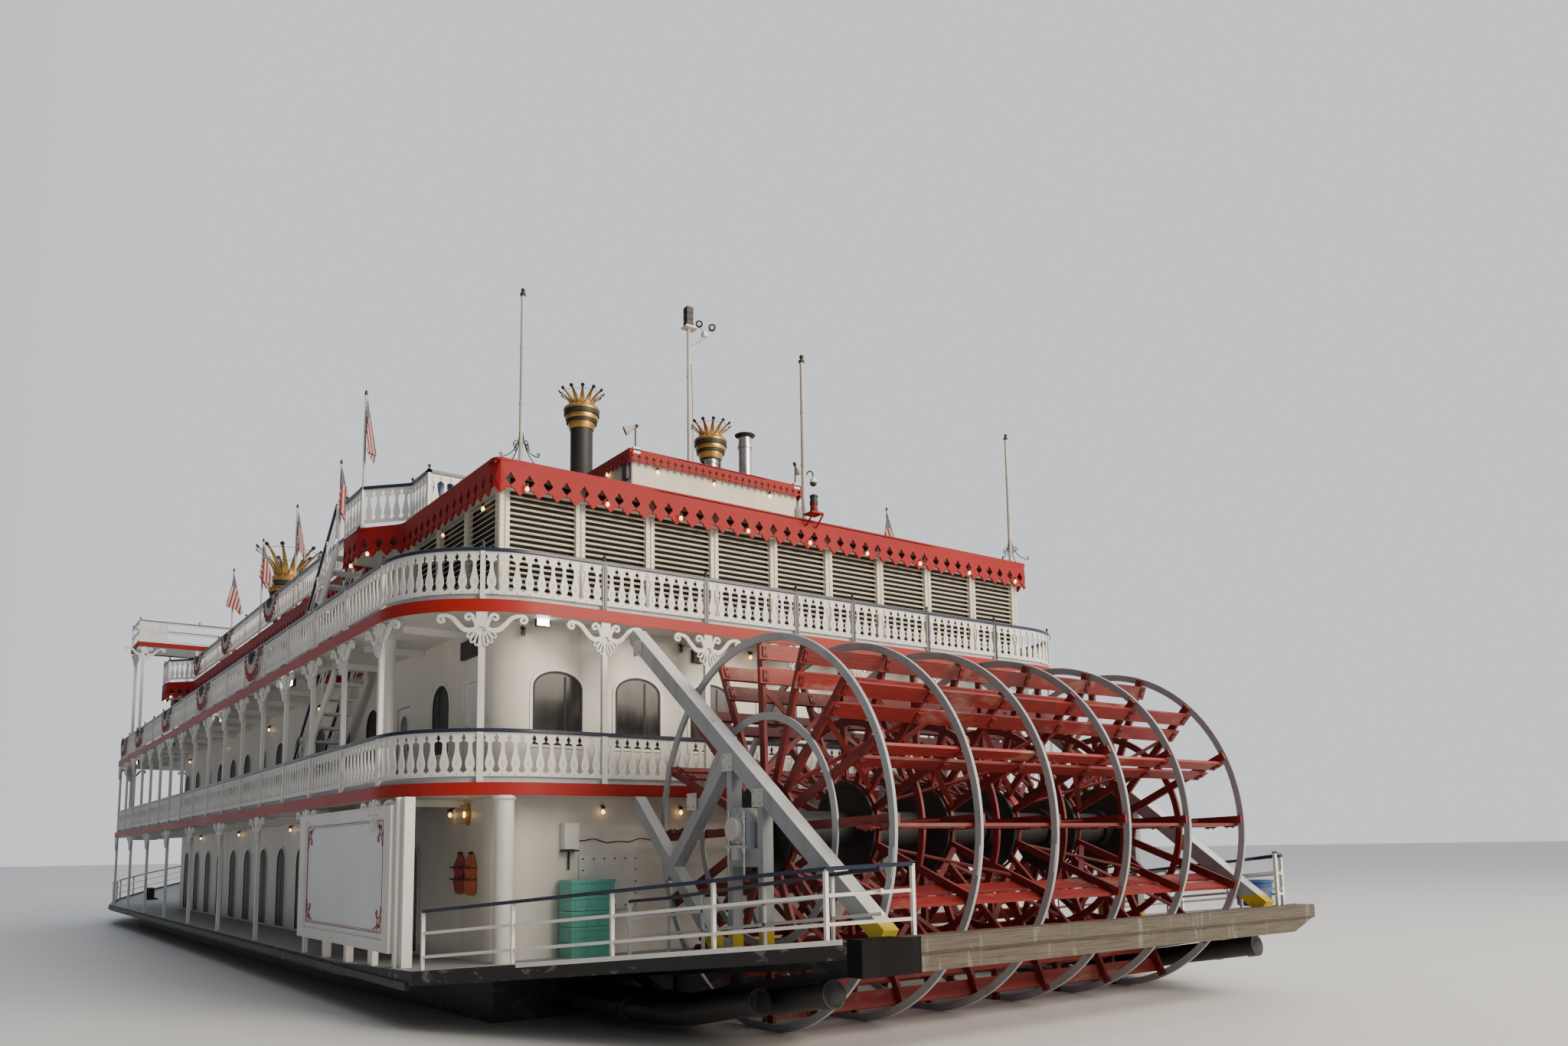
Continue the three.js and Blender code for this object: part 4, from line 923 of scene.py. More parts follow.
def lay_colonnade(name, stations, floor, deck_above, replaced):
    """Posts from a floor to the deck above, with a bracket at the head of each."""
    head = deck_above - DECK_THICK - 0.0005
    post = boxes([-POST_HALF, -0.024, 0.0], [POST_HALF, 0.024, head - floor])
    posts = Mesh().add(RAIL_LINE.lay(post, stations, floor))
    posts.add(RAIL_LINE.lay(moved(BRACKET, (0, BRACKET_OUT, 0)), stations, head))
    posts.piece(name, "white", replaces=replaced)


def rail_deck(deck, level, post_half, cap_wide, replaced=()):
    """Balusters in every bay round an upper deck, a navy cap and a toe board; finials on deck 3."""
    boards, caps, toe = Mesh(), Mesh(), Mesh()
    mids, stretch = fill_bays(STATIONS, post_half, BALUSTER_PITCH, RAIL_LINE.length)
    boards.add(RAIL_LINE.lay(baluster(), mids, level, stretch))
    boards.piece(f"balusters_deck_{deck}", "white", replaces=replaced)
    lay_strip(caps, RAIL_LINE, block(cap_wide, CAP_HIGH), level + RAIL_HEIGHT - CAP_HIGH / 2)
    if deck == 3:
        caps.add(RAIL_LINE.lay(turned(finial(), sides=12), STATIONS, level + RAIL_HEIGHT))
    caps.piece(f"rail_caps_deck_{deck}", "navy", smooth=40)
    lay_strip(toe, RAIL_LINE, block(0.012, 0.06, 0.002), level + 0.03, out=-0.03)
    toe.piece(f"toe_board_deck_{deck}", "toe")


def deck_railings():
    """The railings of decks 2 and 3, with short posts on deck 3 and a colonnade on deck 2."""
    short = 0.022
    rail_deck(3, DECK3_Z, short, CAP_WIDE, both("rail_deck_3"))
    post = boxes([-short, -0.024, 0.0], [short, 0.024, RAIL_HEIGHT - CAP_HIGH])
    Mesh().add(RAIL_LINE.lay(post, STATIONS, DECK3_Z)).piece("posts_deck_3", "white")
    rail_deck(2, DECK2_Z, POST_HALF, CAP_WIDE + 0.012)
    lay_colonnade("colonnade_deck_2", STATIONS, DECK2_Z, DECK3_Z,
                  [*both("side_deck_2"), "stern_posts_deck_2"])


def main_deck_posts():
    """Posts under deck 2's edge, at every second bay of the sides."""
    port = np.array([RAIL_LINE.near((x, SIDE_LINE_Y)) for x in SIDE_X[::2]])
    stations = np.concatenate([port, RAIL_LINE.length - port])
    lay_colonnade("colonnade_main_deck", stations, MAIN_DECK_Z, DECK2_Z, both("side_main_deck"))


def deck_bands():
    """Smooth red bands on the upper decks' edges, and smooth plating round the houses' after corners."""
    bands, skins = Mesh(), Mesh()
    for z in (DECK2_Z, DECK3_Z):
        lay_strip(bands, edge(0.0), block(0.009, DECK_THICK + 0.001, 0.001), z - DECK_THICK / 2)
    bands.piece("deck_edge_bands", "band", smooth=40)
    turn = np.linspace(0, np.pi / 2, 25)
    arc = np.stack([-np.cos(turn), np.sin(turn)], 1)
    centre = np.array([HOUSE_LOW[0] + HOUSE_CORNER, HOUSE_HIGH[1] - HOUSE_CORNER])
    outer, inner = (centre + r * arc for r in (HOUSE_CORNER + 0.003, HOUSE_CORNER - 0.002))
    plan = np.concatenate([outer, inner[::-1]])
    for low, high in ((MAIN_DECK_Z, DECK2_LOW[2]), (DECK2_Z, DECK3_LOW[2])):
        for side, _ in SIDES:
            skins.add(slab(plan * [1, side], low + 0.001, high - 0.001))
    skins.piece("house_corner_skins", "house", smooth=40)


# Louvred enclosure.
LOUVRE_LOW, LOUVRE_HIGH = corners("louvre_enclosure")
SLAT_PITCH = 0.062
SLAT_TILT = math.radians(38)
BOLT_PITCH = 0.055


def louvres():
    """Slats between bolted boards on three sides, and dark sheets behind them that paint in the shade of the
    room inside.
    """
    rng = np.random.default_rng(4)
    (x0, _, z0), (x1, half, z1) = LOUVRE_LOW, LOUVRE_HIGH
    levels = np.arange(z0 + 0.10, z1 - 0.06, SLAT_PITCH)
    post_y = np.linspace(-half + 0.06, half - 0.06, 10)
    post_x = np.linspace(x0 + 0.06, x1 - 0.03, 4)
    lean, rise = math.cos(SLAT_TILT), math.sin(SLAT_TILT)
    slats = Mesh()
    for side, stops in ((0, post_y), (-1, post_x), (1, post_x)):
        ends = [np.meshgrid(at, levels) for at in (stops[:-1] + 0.055, stops[1:] - 0.055)]
        if side:
            start, stop = (rows(u, side * (half - 0.035), z) for u, z in ends)
        else:
            start, stop = (rows(x0 + 0.035, u, z) for u, z in ends)
        up = np.array([0 if side else lean, -side * lean, rise])
        slats.add(bars(start, stop, 0.008, 0.044, up), rng.uniform(0, 1, len(start)))
    slats.piece("louvre_slats", "cream", replaces=["louvre_enclosure"])
    posts, bolts, liner = Mesh(), Mesh(), Mesh()
    board, gap = 0.048, 0.012
    bolt_z = np.arange(z0 + 0.08, z1, BOLT_PITCH)
    for y in post_y:
        for mid in (y - (board + gap) / 2, y + (board + gap) / 2):
            posts.add(boxes([x0, mid - board / 2, z0], [x0 + 0.06, mid + board / 2, z1]))
            heads = rows(x0, mid, bolt_z)
            bolts.add(rods(heads, heads - [0.005, 0, 0], 0.0055, sides=6))
        posts.add(boxes([x0 + 0.012, y - gap, z0], [x0 + 0.05, y + gap, z1]))
    for side, _ in SIDES:
        for x in post_x:
            posts.add(boxes([x - 0.05, side * half, z0], [x + 0.05, side * (half - 0.06), z1]))
            heads = rows(x, side * half, bolt_z)
            bolts.add(rods(heads, heads + [0, side * 0.005, 0], 0.0055, sides=6))
        # A dark sheet inside each side's slats: painted shade for the room within.
        liner.add(boxes([x0 + 0.098, side * (half - 0.095), z0], [x1 - 0.01, side * (half - 0.107), z1]))
    for low, high in ((z0, z0 + 0.09), (z1 - 0.05, z1)):
        posts.add(boxes([x0 + 0.006, -half, low], [x0 + 0.055, half, high]))
        for side, _ in SIDES:
            posts.add(boxes([x0, side * (half - 0.006), low], [x1, side * (half - 0.055), high]))
    # A dark sheet behind the after slats: painted shade for the room within.
    liner.add(boxes([x0 + 0.085, 0.095 - half, z0], [x0 + 0.097, half - 0.095, z1]))
    posts.piece("louvre_posts", "cream")
    liner.piece("louvre_liner", "liner")
    bolts.piece("louvre_bolts", "steel")


# Roof with its sawn fascia.
ROOF_LOW, ROOF_HIGH = corners("roof")
ROOF_AFT, ROOF_FORE = ROOF_LOW[0], ROOF_HIGH[0]
ROOF_HALF, ROOF_FORE_HALF, PORCH_HALF = 4.03, 3.95, 4.42
PORCHES = [(-10.17, -8.975), (4.725, 5.98)]
PORCH_SLANT = 0.48
ROOF_THICK = 0.09
FASCIA_DROP = 0.375
CEILING_Z = 6.305
DECK_3_HOUSE_HALF = 3.80
FASCIA_PITCH = 0.2085


def rounded(points, radius, steps=6):
    """A closed plan outline whose corners become arcs of about the radius."""
    p = np.asarray(points, float)
    made = []
    for before, here, after in zip(np.roll(p, 1, 0), p, np.roll(p, -1, 0)):
        a, b = before - here, after - here
        r = min(radius, 0.45 * np.hypot(*a), 0.45 * np.hypot(*b))
        a, b = here + r * a / np.hypot(*a), here + r * b / np.hypot(*b)
        t = np.linspace(0, 1, steps)[:, None]
        made.append((1 - t) ** 2 * a + 2 * t * (1 - t) * here + t ** 2 * b)
    return np.concatenate(made)


def roof_plan(d):
    """Roof outline inset by d, from the middle of the stern to port and round. A porch widens along a
    slant aft, whose inset corners move forward by 0.35 d."""
    port = [(ROOF_AFT + d, ROOF_HALF - d)]
    for (aft, fore), half in zip(PORCHES, (ROOF_HALF, ROOF_FORE_HALF)):
        start = aft + 0.35 * d
        port += [(start, half - d), (start + PORCH_SLANT, PORCH_HALF - d), (fore - d, PORCH_HALF - d),
                 (fore - d, ROOF_FORE_HALF - d)]
    port.append((ROOF_FORE - d, ROOF_FORE_HALF - d))
    return [(ROOF_AFT + d, 0.0)] + port + [(x, -y) for x, y in port[::-1]]


# Right half of the fascia's lower edge from under a diamond to the tip of a tongue: (share of the pitch,
# share of the tongue's depth).
TONGUE = [(0.0, 0.0), (0.03, 0.0), (0.045, 0.16), (0.20, 0.16), (0.235, 0.26), (0.255, 0.48), (0.285, 0.56),
          (0.335, 0.58), (0.375, 0.66), (0.395, 0.80), (0.425, 0.84), (0.46, 0.90), (0.5, 1.0)]


def fascia_board(pitch, drop, thick, mid=0.555, notch=0.76):
    """One pitch of sawn fascia: a plain band with a diamond cut in it at a share mid of the drop, above
    stepped tongues; the edge between the tongues is at a share notch of the drop."""
    half, deep = pitch / 2, (1 - notch) * drop
    right = [(u * pitch, -notch * drop - w * deep) for u, w in TONGUE]
    outline = [(-u, w) for u, w in right[:0:-1]] + right + [(half, 0), (-half, 0)]
    wide, tall, mid = 0.275 * pitch, 0.215 * drop, -mid * drop
    hole = [(wide * u, mid + tall * w) for u, w in (
        (-1, 0), (-0.47, 0.47), (0, 1), (0.47, 0.47), (1, 0), (0.47, -0.47), (0, -0.9), (-0.47, -0.47))]
    return sawn(outline, [hole], thick, half)


def roof():
    """The roof: sawn fascia, red edge, soffit, the porches' ceiling and the grey cover."""
    line = Route(rounded(roof_plan(0.012), 0.10))
    count = round(line.length / FASCIA_PITCH)
    pitch = line.length / count
    board = fascia_board(pitch, FASCIA_DROP - 0.02, 0.024)
    fascia = Mesh().add(line.lay(board, pitch * np.arange(count), ROOF_Z - 0.02))
    fascia.piece("roof_fascia", "red", replaces=["roof"])
    aft, fore = LOUVRE_LOW[0] - 0.004, corners("house_deck_3")[1][0] + 0.004
    wall = DECK_3_HOUSE_HALF + 0.004
    inside = [(aft, -wall), (fore, -wall), (fore, wall), (aft, wall)]
    for name, finish, inset, radius, low, high, holes in (
            ("roof_edge", "red", 0.0, 0.11, ROOF_Z - 0.03, ROOF_Z, ()),
            ("roof_soffit", "white", 0.03, 0.08, ROOF_Z - ROOF_THICK, ROOF_Z - 0.0305, ()),
            ("porch_ceiling", "ceiling", 0.03, 0.08, CEILING_Z, CEILING_Z + 0.012, [inside]),
            ("roof_cover", "deck_grey", 0.08, 0.08, ROOF_Z, ROOF_Z + 0.004, ())):
        Mesh().add(slab(rounded(roof_plan(inset), radius), low, high, holes)).piece(name, finish)


def cabin_roof():
    """The roof of the roof cabin, with a smaller sawn fascia."""
    (x0, _, z0), (x1, half, z1) = corners("roof_house_top")

    def plan(d):
        return [(x0 + d, 0.0), (x0 + d, half - d), (x1 - d, half - d), (x1 - d, d - half), (x0 + d, d - half)]

    line = Route(rounded(plan(0.008), 0.03))
    count = round(line.length / 0.11)
    pitch = line.length / count
    board = fascia_board(pitch, z1 - z0 - 0.01, 0.016, 0.5, 0.72)
    mesh = Mesh().add(line.lay(board, pitch * np.arange(count), z1 - 0.01))
    mesh.add(slab(plan(0.0), z1 - 0.02, z1))
    mesh.piece("cabin_fascia", "red", replaces=["roof_house_top"])
    inner = Mesh().add(boxes([x0 + 0.02, -half + 0.02, z1 - 0.06], [x1 - 0.02, half - 0.02, z1 - 0.021]))
    inner.piece("cabin_soffit", "cream")


# Paddle wheel.
INNER_HOOP = 0.985, 1.055
OUTER_HOOP_LOW = 1.70
DISC_R, DISC_BOLTS_R = 0.44, 0.385
ARM_FACE = 0.0183


def on_wheel(r, angle, y):
    """Points at a radius and angle about the wheel's shaft."""
    r, angle, y = np.broadcast_arrays(np.asarray(r, float), angle, y)
    return np.stack([WHEEL_X + r * np.cos(angle), y, WHEEL_Z + r * np.sin(angle)], -1)


def hoop(y, r0, r1, thick, steps=120):
    """A flat ring about the shaft: a rectangle between two radii swept round."""
    a = np.linspace(0, -2 * np.pi, steps, endpoint=False)
    return sweep(on_wheel((r0 + r1) / 2, a, y), block(r1 - r0, thick, 0.002), ATHWART, True)


def wheel():
    """The paddle wheel: arms with hoops and crossed braces, boards, clips, outer rings and the shaft."""
    rng = np.random.default_rng(7)
    angles = ARM_PHASE + 2 * np.pi * np.arange(ARM_COUNT) / ARM_COUNT
    radial = rows(np.cos(angles), 0, np.sin(angles))
    onward = rows(-np.sin(angles), 0, np.cos(angles))
    a, y = (g.ravel() for g in np.meshgrid(angles, FRAME_Y))
    heavy = (np.abs(y) > 2) | (np.tile(np.arange(ARM_COUNT), len(FRAME_Y)) % 8 == 0)
    arms = Mesh().add(bars(on_wheel(0.19, a, y), on_wheel(WHEEL_R - 0.015, a, y),
                           np.where(heavy, 0.078, 0.070), 0.036, ATHWART), rng.uniform(0, 1, len(a)))
    for yk in FRAME_Y:
        arms.add(hoop(yk, 0.445, 0.465, 0.029, 72))
    for k, (y0, y1) in enumerate(zip(FRAME_Y, FRAME_Y[1:])):
        arms.add(hoop(y0, *INNER_HOOP, 0.031, 96))
        a, on = angles[k % 2::2], onward[k % 2::2]
        for r0, r1, lean in ((0.52, 1.27, 0.012), (1.27, 0.52, -0.012)):
            arms.add(bars(on_wheel(r0, a, y0 + 0.02) + lean * on, on_wheel(r1, a, y1 - 0.02) + lean * on,
                          0.048, 0.016, on))
    arms.piece("wheel_arms", "arm_red", "paddle_wheel", ["wheel_buckets"])

    thick, half_span, behind_arm = 0.028, 2.44, 0.0493
    boards, clips = Mesh(), Mesh()
    for r0, r1 in ((1.32, 1.47), (1.545, 1.69)):
        mid = on_wheel((r0 + r1) / 2, angles, 0.0) + behind_arm * onward
        span = half_span * ATHWART
        boards.add(bars(mid - span, mid + span, thick, r1 - r0, radial), rng.uniform(0, 1, ARM_COUNT))
        for yk in FRAME_Y:
            at = mid + yk * ATHWART + (thick / 2 + 0.006) * onward
            clips.add(bars(at - 0.030 * ATHWART, at + 0.030 * ATHWART, 0.012, 0.10, radial))
            for bolt in (at - 0.032 * radial, at + 0.032 * radial):
                clips.add(rods(bolt, bolt + 0.016 * onward, 0.010, sides=6))
    boards.piece("wheel_boards", "boards", "paddle_wheel")
    clips.piece("wheel_clips", "arm_red", "paddle_wheel")

    rings = Mesh().add(hoop(FRAME_Y[-1] + 0.0283, *INNER_HOOP, 0.020, 96))
    for yk, side in zip(FRAME_Y, np.sign(FRAME_Y)):
        outside = yk + side * (ARM_FACE + 0.010)
        rings.add(hoop(outside + side * 0.006, OUTER_HOOP_LOW, WHEEL_R, 0.032))
        for angle in ARM_PHASE + np.radians([11.25, 101.25, 191.25, 281.25]):
            splice = on_wheel(1.735, np.linspace(angle + 0.07, angle - 0.07, 7), outside + side * 0.026)
            rings.add(sweep(splice, block(0.056, 0.010, 0.001), ATHWART))
    rings.piece("wheel_rings", "grey", "paddle_wheel", [f"wheel_ring_{i + 1}" for i in range(6)])

    shaft = Mesh()
    turns = [(-2.47, 2.47, 0.165, 48), (-2.76, 2.76, 0.08, 32)]
    for yk, side in zip(FRAME_Y, np.sign(FRAME_Y)):
        # A thick disc inside each frame, a thin one outside those to port.
        for way, deep in ((-side, 0.040), (side, 0.030))[:2 if side > 0 else 1]:
            near, far = yk + way * ARM_FACE, yk + way * (ARM_FACE + deep)
            turns.append((near, far, DISC_R, 72))
            bolt = on_wheel(DISC_BOLTS_R, angles, far)
            shaft.add(rods(bolt, bolt + way * 0.014 * ATHWART, 0.013, sides=6))
        turns.append((yk - side * 0.0583, yk - side * 0.16, 0.21, 40))
    for y0, y1, r, sides in turns:
        shaft.add(rods((WHEEL_X, y0, WHEEL_Z), (WHEEL_X, y1, WHEEL_Z), r, sides=sides))
    shaft.piece("wheel_axle", "black", "paddle_wheel", ["wheel_shaft"], smooth=35)


# Crowned stacks.

def blade(r0, h0, r1, h1, wide, thick):
    """A crown's spike in the x, z plane: radius grows with the 1.9th power of the height share."""
    t = np.linspace(0, 1, 8)
    path = rows(r0 + (r1 - r0) * t ** 1.9, 0, h0 + (h1 - h0) * t)
    return sweep(path, block(wide, thick, 0.002), AHEAD, scale=1 - 0.78 * t)


def around(form, count, phase, at):
    """Copies of a one-copy form turned evenly about the upright axis through a place."""
    points, faces = form
    a = phase + 2 * np.pi * np.arange(count) / count
    x, y, z = points[0].T
    c, s = np.cos(a)[:, None], np.sin(a)[:, None]
    return np.stack([c * x - s * y, s * x + c * y, np.broadcast_to(z, (count, len(z)))], -1) + at, faces


def stack(x, y, foot, top, tube, bowl, tip_r, tip_h, black, gold):
    """A stack with its crown: tube and dark rings, gilt bands and bowl, spikes, dark knobs and wire."""
    k = bowl / 0.265
    at, base, tall = np.array([x, y, top]), (x, y, foot), top - foot
    black.add(turned([(tube * 1.22, 0), (tube * 1.22, 0.03), (tube * 1.02, 0.045), (tube, 0.05), (tube, tall),
                      (tube * 0.5, tall)], base, 48))
    dark_bands = [[(0.14, low), (r, low), (r, high), (0.14, high)] for low, high, r in (
        (0.095, 0.145, 0.222), (0.215, 0.285, 0.258))]
    bands = [[(0.16, 0.0), (0.174, 0.0), (0.192, 0.045), (0.200, 0.10), (0.16, 0.10)],
             [(0.16, 0.14), (0.232, 0.14), (0.242, 0.165), (0.236, 0.215), (0.16, 0.215)],
             [(0.16, 0.28), (0.262, 0.28), (0.268, 0.31), (0.240, 0.345), (0.190, 0.375), (0.172, 0.385),
              (0.150, 0.385), (0.140, 0.30)]]
    for mesh, forms in ((black, dark_bands), (gold, bands)):
        for band in forms:
            mesh.add(turned(k * np.array(band), at, 48))
    count, phase, root = 12, 0.1, 0.36 * k
    spike = blade(0.165 * k, root, tip_r, tip_h, 0.088 * k, 0.014 * k)
    lining = blade(0.157 * k, root + 0.02, tip_r - 0.012 * k, tip_h, 0.094 * k, 0.006 * k)
    gold.add(around(spike, count, phase, at))
    black.add(around(lining, count, phase, at))
    tips = at + ring(count, tip_r, tip_h, phase)
    slope = 0.007 * k * ring(count, 0.8, -0.6, phase)
    black.add(rods(tips - slope, tips + slope, 0.029 * k, sides=14))
    wire = at + ring(count, 0.93 * tip_r, tip_h - 0.035 * k, phase)
    black.add(rods(wire, np.roll(wire, -1, 0), 0.0035 * k, sides=6))


def stacks():
    """Two small crowned stacks on the roof cabin and two large ones forward."""
    black, gold = Mesh(), Mesh()
    for side, _ in SIDES:
        stack(-9.175, side * 1.13, 7.8105, 8.735, 0.1625, 0.265, 0.32, 0.575, black, gold)
        stack(2.375, side * 2.53, 6.6055, 8.13, 0.27, 0.43, 0.66, 1.20, black, gold)
    black.piece("stack_tubes", "black", smooth=35, replaces=both("stack_aft") + both("stack_forward"))
    gold.piece("stack_crowns", "gold", smooth=35)


# Windows and doors of the houses.

def arched(width, sill, apex, rise, steps=14):
    """Outline function of an arched opening, straight sides and an elliptical head of the given rise:
    shape(d) is the outline grown by d."""
    def shape(d):
        t = np.linspace(0, np.pi, steps)
        half = width / 2 + d
        head = np.stack([half * np.cos(t), apex - rise + (rise + d) * np.sin(t)], 1)
        return np.concatenate([[(-half, sill - d), (half, sill - d)], head])
    return shape


def oblong(half, low, high, foot=1):
    """Outline function of a rectangle: grown by d, and by foot times d at its foot."""
    def shape(d):
        u, w0, w1 = half + d, low - foot * d, high + d
        return [(-u, w0), (u, w0), (u, w1), (-u, w1)]
    return shape


def frame_of(shape, outer, inner, thick):
    """A flat frame between an outline grown by outer and the same grown by inner."""
    return sawn(shape(outer), [shape(inner)], thick)


STERN_WINDOW_Y = np.array([-3.295, -2.35, -1.41, -0.47, 0.47, 1.41, 2.35, 3.295])
SIDE_WINDOW_X = -11.434 + 1.245 * np.arange(14)
CABIN_DOOR_X = -10.15
NARROW_MULLION = -0.012  # on the middle of a narrow pane, against 0.07 beside that of a window


def glaze(meshes, shape, places, out, mullion=0.07):
    """Windows of an outline function, set at places on a wall: a moulding round the opening, a dark frame,
    the pane and one upright bar at u from mullion to mullion + 0.024."""
    trim, dark, panes = meshes
    trim.add(on_wall(frame_of(shape, 0.03, 0.002, 0.024), places, out))
    dark.add(on_wall(frame_of(shape, 0.001, -0.022, 0.018), places, out))
    panes.add(on_wall(sawn(shape(-0.021), (), 0.006), places, out))
    low, top = min(w for _, w in shape(-0.01)), max(w for _, w in shape(-0.03))
    dark.wall_boxes([(mullion, -0.004, low, mullion + 0.024, 0.006, top - 0.02)], places, out)


def stern_windows():
    """The large arched windows of the stern wall on deck 2."""
    meshes = Mesh(), Mesh(), Mesh()
    width = 0.555
    shape = arched(width, 0.415, 4.445 - DECK2_Z, 0.32 * width, 16)
    glaze(meshes, shape, rows(HOUSE_LOW[0], STERN_WINDOW_Y, DECK2_Z), (-1, 0, 0), mullion=-0.095)
    finish_windows("stern_window", meshes)


def finish_windows(name, meshes, glass="glass"):
    """The three pieces of a set of windows."""
    for mesh, part, finish in zip(meshes, ("trim", "frames", "panes"), ("white", "frame_dark", glass)):
        mesh.piece(f"{name}_{part}", finish)


def side_windows():
    """Arched windows along deck 2 and deck 3 and tall arched doors on the main deck."""
    meshes = Mesh(), Mesh(), Mesh()
    window, door = arched(0.52, 0.415, 1.185, 0.24), arched(0.54, 0.035, 1.26, 0.24)
    clear = np.abs(SIDE_WINDOW_X - CABIN_DOOR_X) > 0.5
    for side, _ in SIDES[::-1]:
        y, out = side * HOUSE_HIGH[1], (0, side, 0)
        glaze(meshes, window, rows(SIDE_WINDOW_X[clear], y, DECK2_Z), out)
        glaze(meshes, door, rows(SIDE_WINDOW_X[1:] - 0.33, y, MAIN_DECK_Z), out, NARROW_MULLION)
        glaze(meshes, window, rows(SIDE_WINDOW_X[3:] + 0.6, side * DECK_3_HOUSE_HALF, DECK3_Z), out)
    for z, fore in ((MAIN_DECK_Z, HOUSE_HIGH[0]), (DECK2_Z, HOUSE_HIGH[0]), (DECK3_Z, 7.60)):
        form = window if z > MAIN_DECK_Z else door
        glaze(meshes, form, rows(fore, [-2.7, -1.5, 1.5, 2.7], z), (1, 0, 0))
        glaze(meshes, door, rows(fore, [-0.31, 0.31], z), (1, 0, 0), NARROW_MULLION)
    finish_windows("side_window", meshes, "shade_glass")


def plain_doors():
    """A flush white door on each side of deck 2 near the quarter: frame, leaf, handle and two hinges."""
    mesh, dark = Mesh(), Mesh()
    leaf = oblong(0.24, 0.03, 1.10, foot=0)
    for side, _ in SIDES:
        place, out = (-12.40, side * HOUSE_HIGH[1], DECK2_Z), (0, side, 0)
        mesh.add(on_wall(frame_of(leaf, 0.03, 0.0, 0.036), place, out))
        mesh.add(on_wall(sawn(leaf(-0.004), (), 0.02), place, out))
        dark.wall_boxes([(0.15, 0.010, 0.50, 0.175, 0.026, 0.66), (-0.246, 0.008, 0.2, -0.226, 0.024, 0.27),
                         (-0.246, 0.008, 0.9, -0.226, 0.024, 0.97)], place, out)
    mesh.piece("flush_doors", "white")
    dark.piece("door_fittings", "steel")


def cabin_door_panes():
    """An arched pane, its moulding and a handle on each swinging cabin door."""
    shape = arched(0.26, 0.45, 0.98, 0.13)
    for side, name in SIDES:
        body, out = f"cabin_door_{name}", (0, side, 0)
        low, high = corners(body)
        place = (low[0] + high[0]) / 2, (low[1] + high[1]) / 2 + side * 0.016, DECK2_Z
        lock = -0.16 * side
        handle = boxes([lock - 0.012, 0.004, 0.55], [lock + 0.012, 0.03, 0.68])
        for part, finish, form in (("moulding", "white", frame_of(shape, 0.025, 0.0, 0.018)),
                                   ("pane", "glass", sawn(shape(0.001), (), 0.012)),
                                   ("handle", "steel", handle)):
            Mesh().add(on_wall(form, place, out)).piece(f"{body}_{part}", finish, body)


def pilothouse_windows():
    """Glazing and mouldings of the pilothouse, and the frames of its lower doors."""
    low, high = corners("pilothouse")
    meshes = trim, _, _ = Mesh(), Mesh(), Mesh()
    sill, head = 8.15, high[2] - 0.18
    for x, out in ((low[0], -1), (high[0], 1)):
        glaze(meshes, oblong(0.37, sill, head), rows(x, [-0.9, 0.0, 0.9], 0.0), (out, 0, 0), NARROW_MULLION)
    x = low[0] + np.array([0.17, 0.5, 0.83]) * (high[0] - low[0])
    for side, _ in SIDES:
        glaze(meshes, oblong(0.33, sill, head), rows(x, side * high[1], 0.0), (0, side, 0), NARROW_MULLION)
    lip = np.array([0.012, 0.012])
    for z in (7.70, 7.95):
        trim.add(boxes([*(low[:2] - lip), z], [*(high[:2] + lip), z + 0.05]))
    finish_windows("pilothouse_window", meshes)
    for side, name in SIDES:
        frame_form = frame_of(oblong(0.24, 0.0, 0.98, foot=0), 0.03, -0.01, 0.03)
        place = (low[0] + high[0]) / 2 - 0.15, side * high[1], 6.62
        Mesh().add(on_wall(frame_form, place, (0, side, 0))).piece(f"wheelhouse_lower_door_{name}", "white")


# Roof railings, flagpoles, flags and bunting.
POLE_TOP = 8.40
AFTER_MASTS = [(-12.98, 3.71), (-12.98, -3.78)]
STERN_LANTERN_MAST, ANTENNA_MAST = (-12.95, -0.05), (-10.2, -0.09)
ROOF_RAIL_Y, PORCH_RAIL_Y = 3.925, 4.375
POLES = [(x, side * ROOF_RAIL_Y) for side in (1, -1) for x in (-6.97, -4.40, -1.93, 0.69)]
POLES += [(-9.72, PORCH_RAIL_Y), (-9.72, -PORCH_RAIL_Y)]


def roof_rail_paths():
    """Corner points of the roof railings: two lengths on the port side, one on the starboard side."""
    a, b = ROOF_RAIL_Y, PORCH_RAIL_Y
    aft = [(-10.80, 1.47), (-10.80, a), (-10.20, a), (-9.72, b), (-9.01, b)]
    fore = [(-7.40, a), (4.725, a), (5.20, b), (5.94, b)]
    across = [(x, -y) for x, y in aft] + [(-9.01, -a)] + [(x, -y) for x, y in fore]
    return aft, fore, across


def roof_rails():
    """Railings on the roof, with finials on the posts that carry no flagpole."""
    boards, posts, caps = Mesh(), Mesh(), Mesh()
    half_post, rail_z = 0.021, ROOF_Z + RAIL_HEIGHT
    for path in roof_rail_paths():
        places = []
        for a, b in zip(path, path[1:]):
            leg = Route([a, b], ring_closed=False)
            stations = np.linspace(0, leg.length, max(1, round(leg.length / 1.28)) + 1)
            mids, stretch = fill_bays(stations, half_post, BALUSTER_PITCH)
            boards.add(leg.lay(baluster(), mids, ROOF_Z, stretch))
            places.append(leg.at(stations)[0])
            start, stop = raised([a, b], rail_z - CAP_HIGH / 2)
            past = (stop - start) / leg.length * CAP_WIDE / 2
            caps.add(bars(start - past, stop + past, CAP_WIDE, CAP_HIGH))
        places = np.unique(np.round(np.concatenate(places), 4), axis=0)
        posts.add(boxes(raised(places - half_post, ROOF_Z), raised(places + half_post, rail_z - CAP_HIGH)))
        gap = np.linalg.norm(places[:, None] - np.array(POLES), axis=2)
        caps.add(turned(finial(), raised(places[gap.min(1) > 0.1], rail_z), 12))
    boards.piece("balusters_roof", "white",
                 replaces=["rail_roof_port", "rail_roof_aft_port", "rail_roof_starboard"])
    posts.piece("posts_roof", "white")
    caps.piece("rail_caps_roof", "navy", smooth=40)


